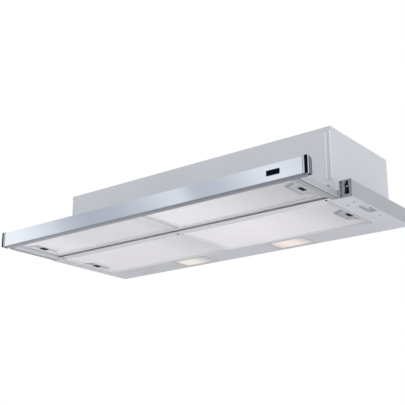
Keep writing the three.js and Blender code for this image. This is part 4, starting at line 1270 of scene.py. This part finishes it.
# ------------------------------------------------------------------ camera, lamps, floor
YAW, PITCH = 0.6650363, 0.3125875  # the view turns left and looks up, in radians
FOCAL_PIXELS = 846.773
PHOTO_PIXELS = 405
SENSOR = 36  # millimetres
CAMERA_PLACE = (1227.19, -1503.58, -548.58)  # millimetres from the front and the underside


def photo_camera():
    """The photograph's own view: its place, direction and lens."""
    yaw, pitch = YAW, PITCH
    level = math.cos(pitch)
    ahead = Vector((-math.sin(yaw) * level, math.cos(yaw) * level, math.sin(pitch)))
    right = Vector((math.cos(yaw), math.sin(yaw), 0))
    above = right.cross(ahead)
    camera = bpy.data.objects.new("camera", bpy.data.cameras.new("camera"))
    camera.data.sensor_width = SENSOR
    camera.data.lens = SENSOR * FOCAL_PIXELS / PHOTO_PIXELS
    turn = Matrix((right, above, -ahead)).transposed().to_4x4()
    camera.matrix_world = Matrix.Translation(at(*CAMERA_PLACE)) @ turn
    bpy.context.scene.collection.objects.link(camera)
    bpy.context.scene.camera = camera


def soft_light(name, place, target, size, power):
    """A square white panel that lights the hood and isn't mirrored in it. Metres and watts."""
    data = bpy.data.lights.new(name, "AREA")
    data.shape = "SQUARE"
    data.size = size
    data.energy = power
    light = bpy.data.objects.new(name, data)
    light.location = place
    aim = Vector(target) - Vector(place)
    light.rotation_euler = aim.to_track_quat("-Z", "Y").to_euler()
    light.visible_glossy = False
    bpy.context.scene.collection.objects.link(light)


def studio_world():
    """White behind the hood and in what its metal mirrors, and a plain softer light on it."""
    world = bpy.data.worlds.new("studio")
    bpy.context.scene.world = world
    world.use_nodes = True
    tree = world.node_tree
    tree.nodes.clear()
    rays = put(tree, "ShaderNodeLightPath").outputs
    seen = number(tree, "MAXIMUM", rays["Is Camera Ray"], rays["Is Glossy Ray"])
    seen = number(tree, "MAXIMUM", seen, rays["Is Transmission Ray"])
    light = put(tree, "ShaderNodeBackground", {"Color": (1, 1, 1, 1), "Strength": 0.78})
    white = put(tree, "ShaderNodeBackground", {"Color": (1, 1, 1, 1), "Strength": 1.0})
    both = put(tree, "ShaderNodeMixShader", {0: seen, 1: light.outputs[0], 2: white.outputs[0]})
    put(tree, "ShaderNodeOutputWorld", {"Surface": both.outputs[0]})


FLOOR_HALF, FLOOR_LEVEL = 9.0, -2.75  # metres


def pale_floor():
    """A wide pale floor well below the hood, which hangs clear of it."""
    material, tree, shader, place = start_material("floor", Roughness=0.7)
    cloud = noise(tree, place, 1.5, 2.0)
    tree.links.new(
        shades(tree, cloud, (0.86, 0.86, 0.86), (0.9, 0.9, 0.9)), shader.inputs["Base Color"]
    )
    half, level = FLOOR_HALF, FLOOR_LEVEL
    mesh = bpy.data.meshes.new("floor")
    corners = [(x, y, level) for x, y in ((-half, -half), (half, -half), (half, half), (-half, half))]
    mesh.from_pydata(corners, [], [(0, 1, 2, 3)])
    mesh.materials.append(material)
    floor = bpy.data.objects.new("floor", mesh)
    bpy.context.scene.collection.objects.link(floor)


photo_camera()
studio_world()
pale_floor()
soft_light("side_light", (2.9, -0.55, -0.3), (0.3, -0.15, 0.0), 1.6, 17)
soft_light("front_light", (-0.9, -2.0, 1.3), (0, -0.3, 0.05), 1.6, 13)
soft_light("under_light", (0.5, -1.9, -1.2), (0, -0.2, -0.03), 1.4, 6)
soft_light("low_light", (0.3, -0.9, -1.3), (0, -0.15, -0.03), 1.2, 7.7)
bpy.context.scene.view_settings.view_transform = "Standard"
